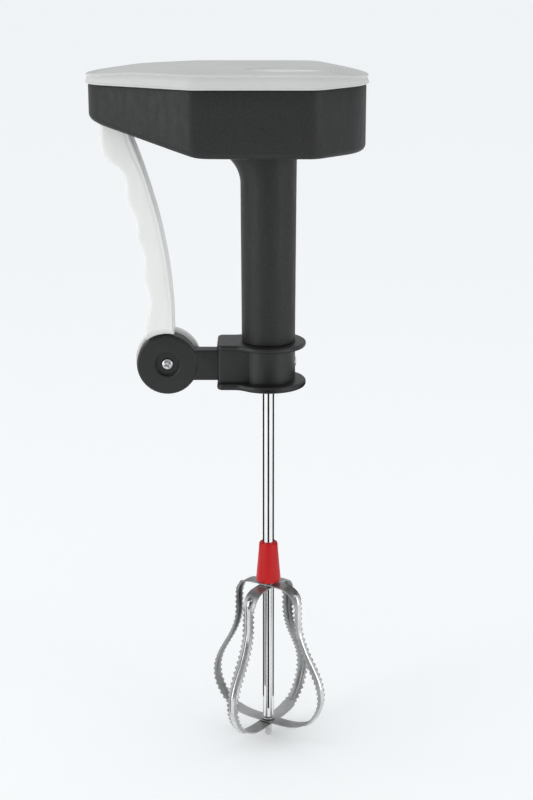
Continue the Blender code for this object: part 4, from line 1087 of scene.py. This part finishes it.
def blade_frames():
    """Along the loop: place, outward direction, and shares of the bead's and teeth's full size."""
    side, line = blade_line()
    count = len(line)
    lengths = lengths_along(side)
    frames = []
    for i, point in enumerate(line):
        k = i if i < len(side) else count - i
        along = (Vector(line[(i + 1) % count]) - Vector(line[i - 1])).normalized()
        travel, from_end = lengths[k], lengths[-1] - lengths[k]
        bead = smoothstep(16.4, 18.4, travel) * smoothstep(22.0, 25.0, from_end)
        toothed = smoothstep(21.0, 23.0, travel) * smoothstep(20.0, 24.0, from_end)
        notch = (0.0, 0.5, 1.0, 0.5)[k % 4] * toothed
        frames.append((Vector(point), Vector((-along.y, along.x)), bead, notch))
    return frames


def bead_share(bead):
    """How wide the bead is where it has grown so far."""
    return max(0.3, bead**0.6)


def bead_lift(bead, width):
    share = abs(width) / (BEAD_HALF_WIDTH * bead_share(bead))
    if share >= 1:
        return 0.0
    return BEAD_HEIGHT * bead * math.cos(share * math.pi / 2) ** 0.8


def blade(name, angle, drop, *nodes):
    """A strip loop: flat across the shaft, with a pressed bead and toothed edges down its sides."""
    frames = blade_frames()
    turn = Matrix.Rotation(math.radians(angle), 4, "Z")

    def strip_point(place, outward, width, lift):
        point = place + outward * lift
        return (point.x, width, point.y - drop)

    rings = []
    for place, outward, bead, notch in frames:
        edge = STRIP_HALF_WIDTH - 0.12 - TOOTH_DEPTH * notch
        widths = [-edge, *BEAD_WIDTHS, edge]
        ring = []
        for face_side, order in ((0.5, widths), (-0.5, reversed(widths))):
            for width in order:
                thin = 0.78 if abs(width) == edge else 1.0
                lift = STRIP * face_side * thin + bead_lift(bead, width)
                ring.append(strip_point(place, outward, width, lift))
        rings.append(ring)
    body = skin(rings, closed=True)
    body.data.transform(turn)
    finished(body, name, BLADE, "whisk", "polished_steel", *nodes)

    # Crown strips along each bead, in the finish whose lighter colour is a painted highlight.
    beaded = [i for i, (_, _, bead, _) in enumerate(frames) if bead > 0.2]
    middle = len(frames) / 2
    halves = [[i for i in beaded if i < middle], [i for i in beaded if i > middle]]
    for number, half in enumerate(halves, 1):
        rings = []
        for i in half:
            place, outward, bead, _ = frames[i]
            crown = [width * bead_share(bead) for width in CREST_WIDTHS]
            ring = []
            for lift, order in ((0.05, crown), (-0.1, reversed(crown))):
                for width in order:
                    height = STRIP / 2 + bead_lift(bead, width) + lift
                    ring.append(strip_point(place, outward, width, height))
            rings.append(ring)
        crest = skin(rings)
        crest.data.transform(turn)
        finished(crest, f"{name}_bead_{number}", BEAD, "whisk", "polished_steel")


def washer():
    bore = STUB_RADIUS + 0.1
    profile = [
        (bore, 10.7), (3.1, 10.7), (3.4, 10.55), (3.5, 10.3), (3.5, 10.1), (3.35, 9.8), (bore, 9.8),
    ]
    turned = revolve(profile, 48)
    finished(turned, "whisk_rivet_washer", PLATED, "whisk", "steel", "whisk_washer")


# ---- kept CAD nodes

def kept_nodes():
    """The inner pieces keep their CAD shapes and take a finish each."""
    steel = ["gear_plate", "idler_axle", "pivot_sleeve", "drive_pin"]
    steel += [f"plate_screw_{i}" for i in range(1, 5)] + ["guide_screw_1", "guide_screw_2"]
    for finish, names in (
        (PLATED, steel),
        (DARK_STEEL, ["return_spring"]),
        (BRASS, ["upper_bush", "lower_bush", "shaft_stop_ring", "shaft_pinion"]),
        (GEAR, ["idler_gear", "drive_rack", "rack_guide"]),
    ):
        for name in names:
            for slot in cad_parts[name].material_slots:
                slot.material = finish.material


# ---- studio

def matte(name, colour, glow=0.0):
    """A plain material with no sheen, for what isn't part of the object."""
    made = bpy.data.materials.new(name)
    made.use_nodes = True
    shader = made.node_tree.nodes["Principled BSDF"]
    values = {"Base Color": (*colour, 1.0), "Roughness": 0.9, "Specular IOR Level": 0.0}
    if glow:
        values.update({"Emission Color": (*colour, 1.0), "Emission Strength": glow})
    for socket, value in values.items():
        shader.inputs[socket].default_value = value
    return made


def floor():
    bm = bmesh.new()
    bmesh.ops.create_grid(bm, x_segments=1, y_segments=1, size=FLOOR_HALF)
    panel = mesh_object("floor", bm)
    panel.data.transform(Matrix.Translation((0, 0, -FLOOR_DROP)))
    panel.data.materials.append(matte("floor", (0.935, 0.945, 0.95), 0.13))


def curved_screen(name, first, last, radius, low, high, shade):
    """A screen by the whisk that only mirrors see. Degrees count from the camera's side."""
    steps = max(2, int(abs(last - first) / 6))
    bm = bmesh.new()
    columns = []
    for k in range(steps + 1):
        turn = math.radians(first + (last - first) * k / steps)
        x, y = radius * math.sin(turn), -radius * math.cos(turn)
        columns.append([bm.verts.new((x, y, low)), bm.verts.new((x, y, high))])
    for left, right in zip(columns, columns[1:]):
        bm.faces.new((left[0], right[0], right[1], left[1]))
    screen = mesh_object(name, bm)
    screen.data.materials.append(matte(name, (shade, shade, shade)))
    screen.visible_camera = False
    screen.visible_diffuse = False
    screen.visible_shadow = False
    screen.visible_transmission = False


def softbox(name, place, power):
    data = bpy.data.lights.new(name, "AREA")
    data.shape = "RECTANGLE"
    data.size, data.size_y = SOFTBOX_SIZE
    data.energy = power
    lamp = added(name, data)
    lamp.location = place
    towards = Vector(LIGHT_TARGET) - Vector(place)
    lamp.rotation_euler = towards.to_track_quat("-Z", "Y").to_euler()


def sky():
    """A pale tent: brightest overhead and at both sides, and dimmer on the camera's side."""
    world = bpy.data.worlds.new("studio")
    bpy.context.scene.world = world
    world.use_nodes = True
    nodes, links = world.node_tree.nodes, world.node_tree.links
    background = nodes["Background"]
    background.inputs["Color"].default_value = (*SKY_COLOUR, 1.0)
    direction = nodes.new("ShaderNodeSeparateXYZ")
    links.new(nodes.new("ShaderNodeTexCoord").outputs["Generated"], direction.inputs["Vector"])
    strength = None
    for axis, *numbers in SKY:
        made = nodes.new("ShaderNodeMapRange")
        made.interpolation_type = "SMOOTHSTEP"
        set_range(made, *numbers)
        links.new(direction.outputs[axis], made.inputs["Value"])
        factor = made.outputs["Result"]
        if strength is not None:
            product = nodes.new("ShaderNodeMath")
            product.operation = "MULTIPLY"
            links.new(strength, product.inputs[0])
            links.new(factor, product.inputs[1])
            factor = product.outputs["Value"]
        strength = factor
    links.new(strength, background.inputs["Strength"])


def studio():
    floor()
    sky()
    for row in SOFTBOXES:
        softbox(*row)
    for row in SCREENS:
        curved_screen(*row)


def camera():
    data = bpy.data.cameras.new("camera")
    data.sensor_fit = "VERTICAL"
    data.sensor_height = SENSOR_HEIGHT
    data.lens = LENS
    data.clip_end = 100.0
    view = added("camera", data)
    view.location = CAMERA_PLACE
    view.rotation_euler = (math.radians(90.0 - CAMERA_TILT), 0.0, 0.0)
    bpy.context.scene.camera = view


# ---- the whole scene

bpy.context.scene.view_settings.view_transform = "Standard"
camera()
housing()
cover()
cover_lip()
cover_lens()
cover_grip()
screws()
nut()
bracket()
lever()
shaft()
collar()
blade("blade_loop_a", BLADE_ANGLES[0], 0.0, "whisk_blade_a")
blade("blade_loop_b", BLADE_ANGLES[1], BLADE_DROP, "whisk_blade_b")
washer()
kept_nodes()
studio()
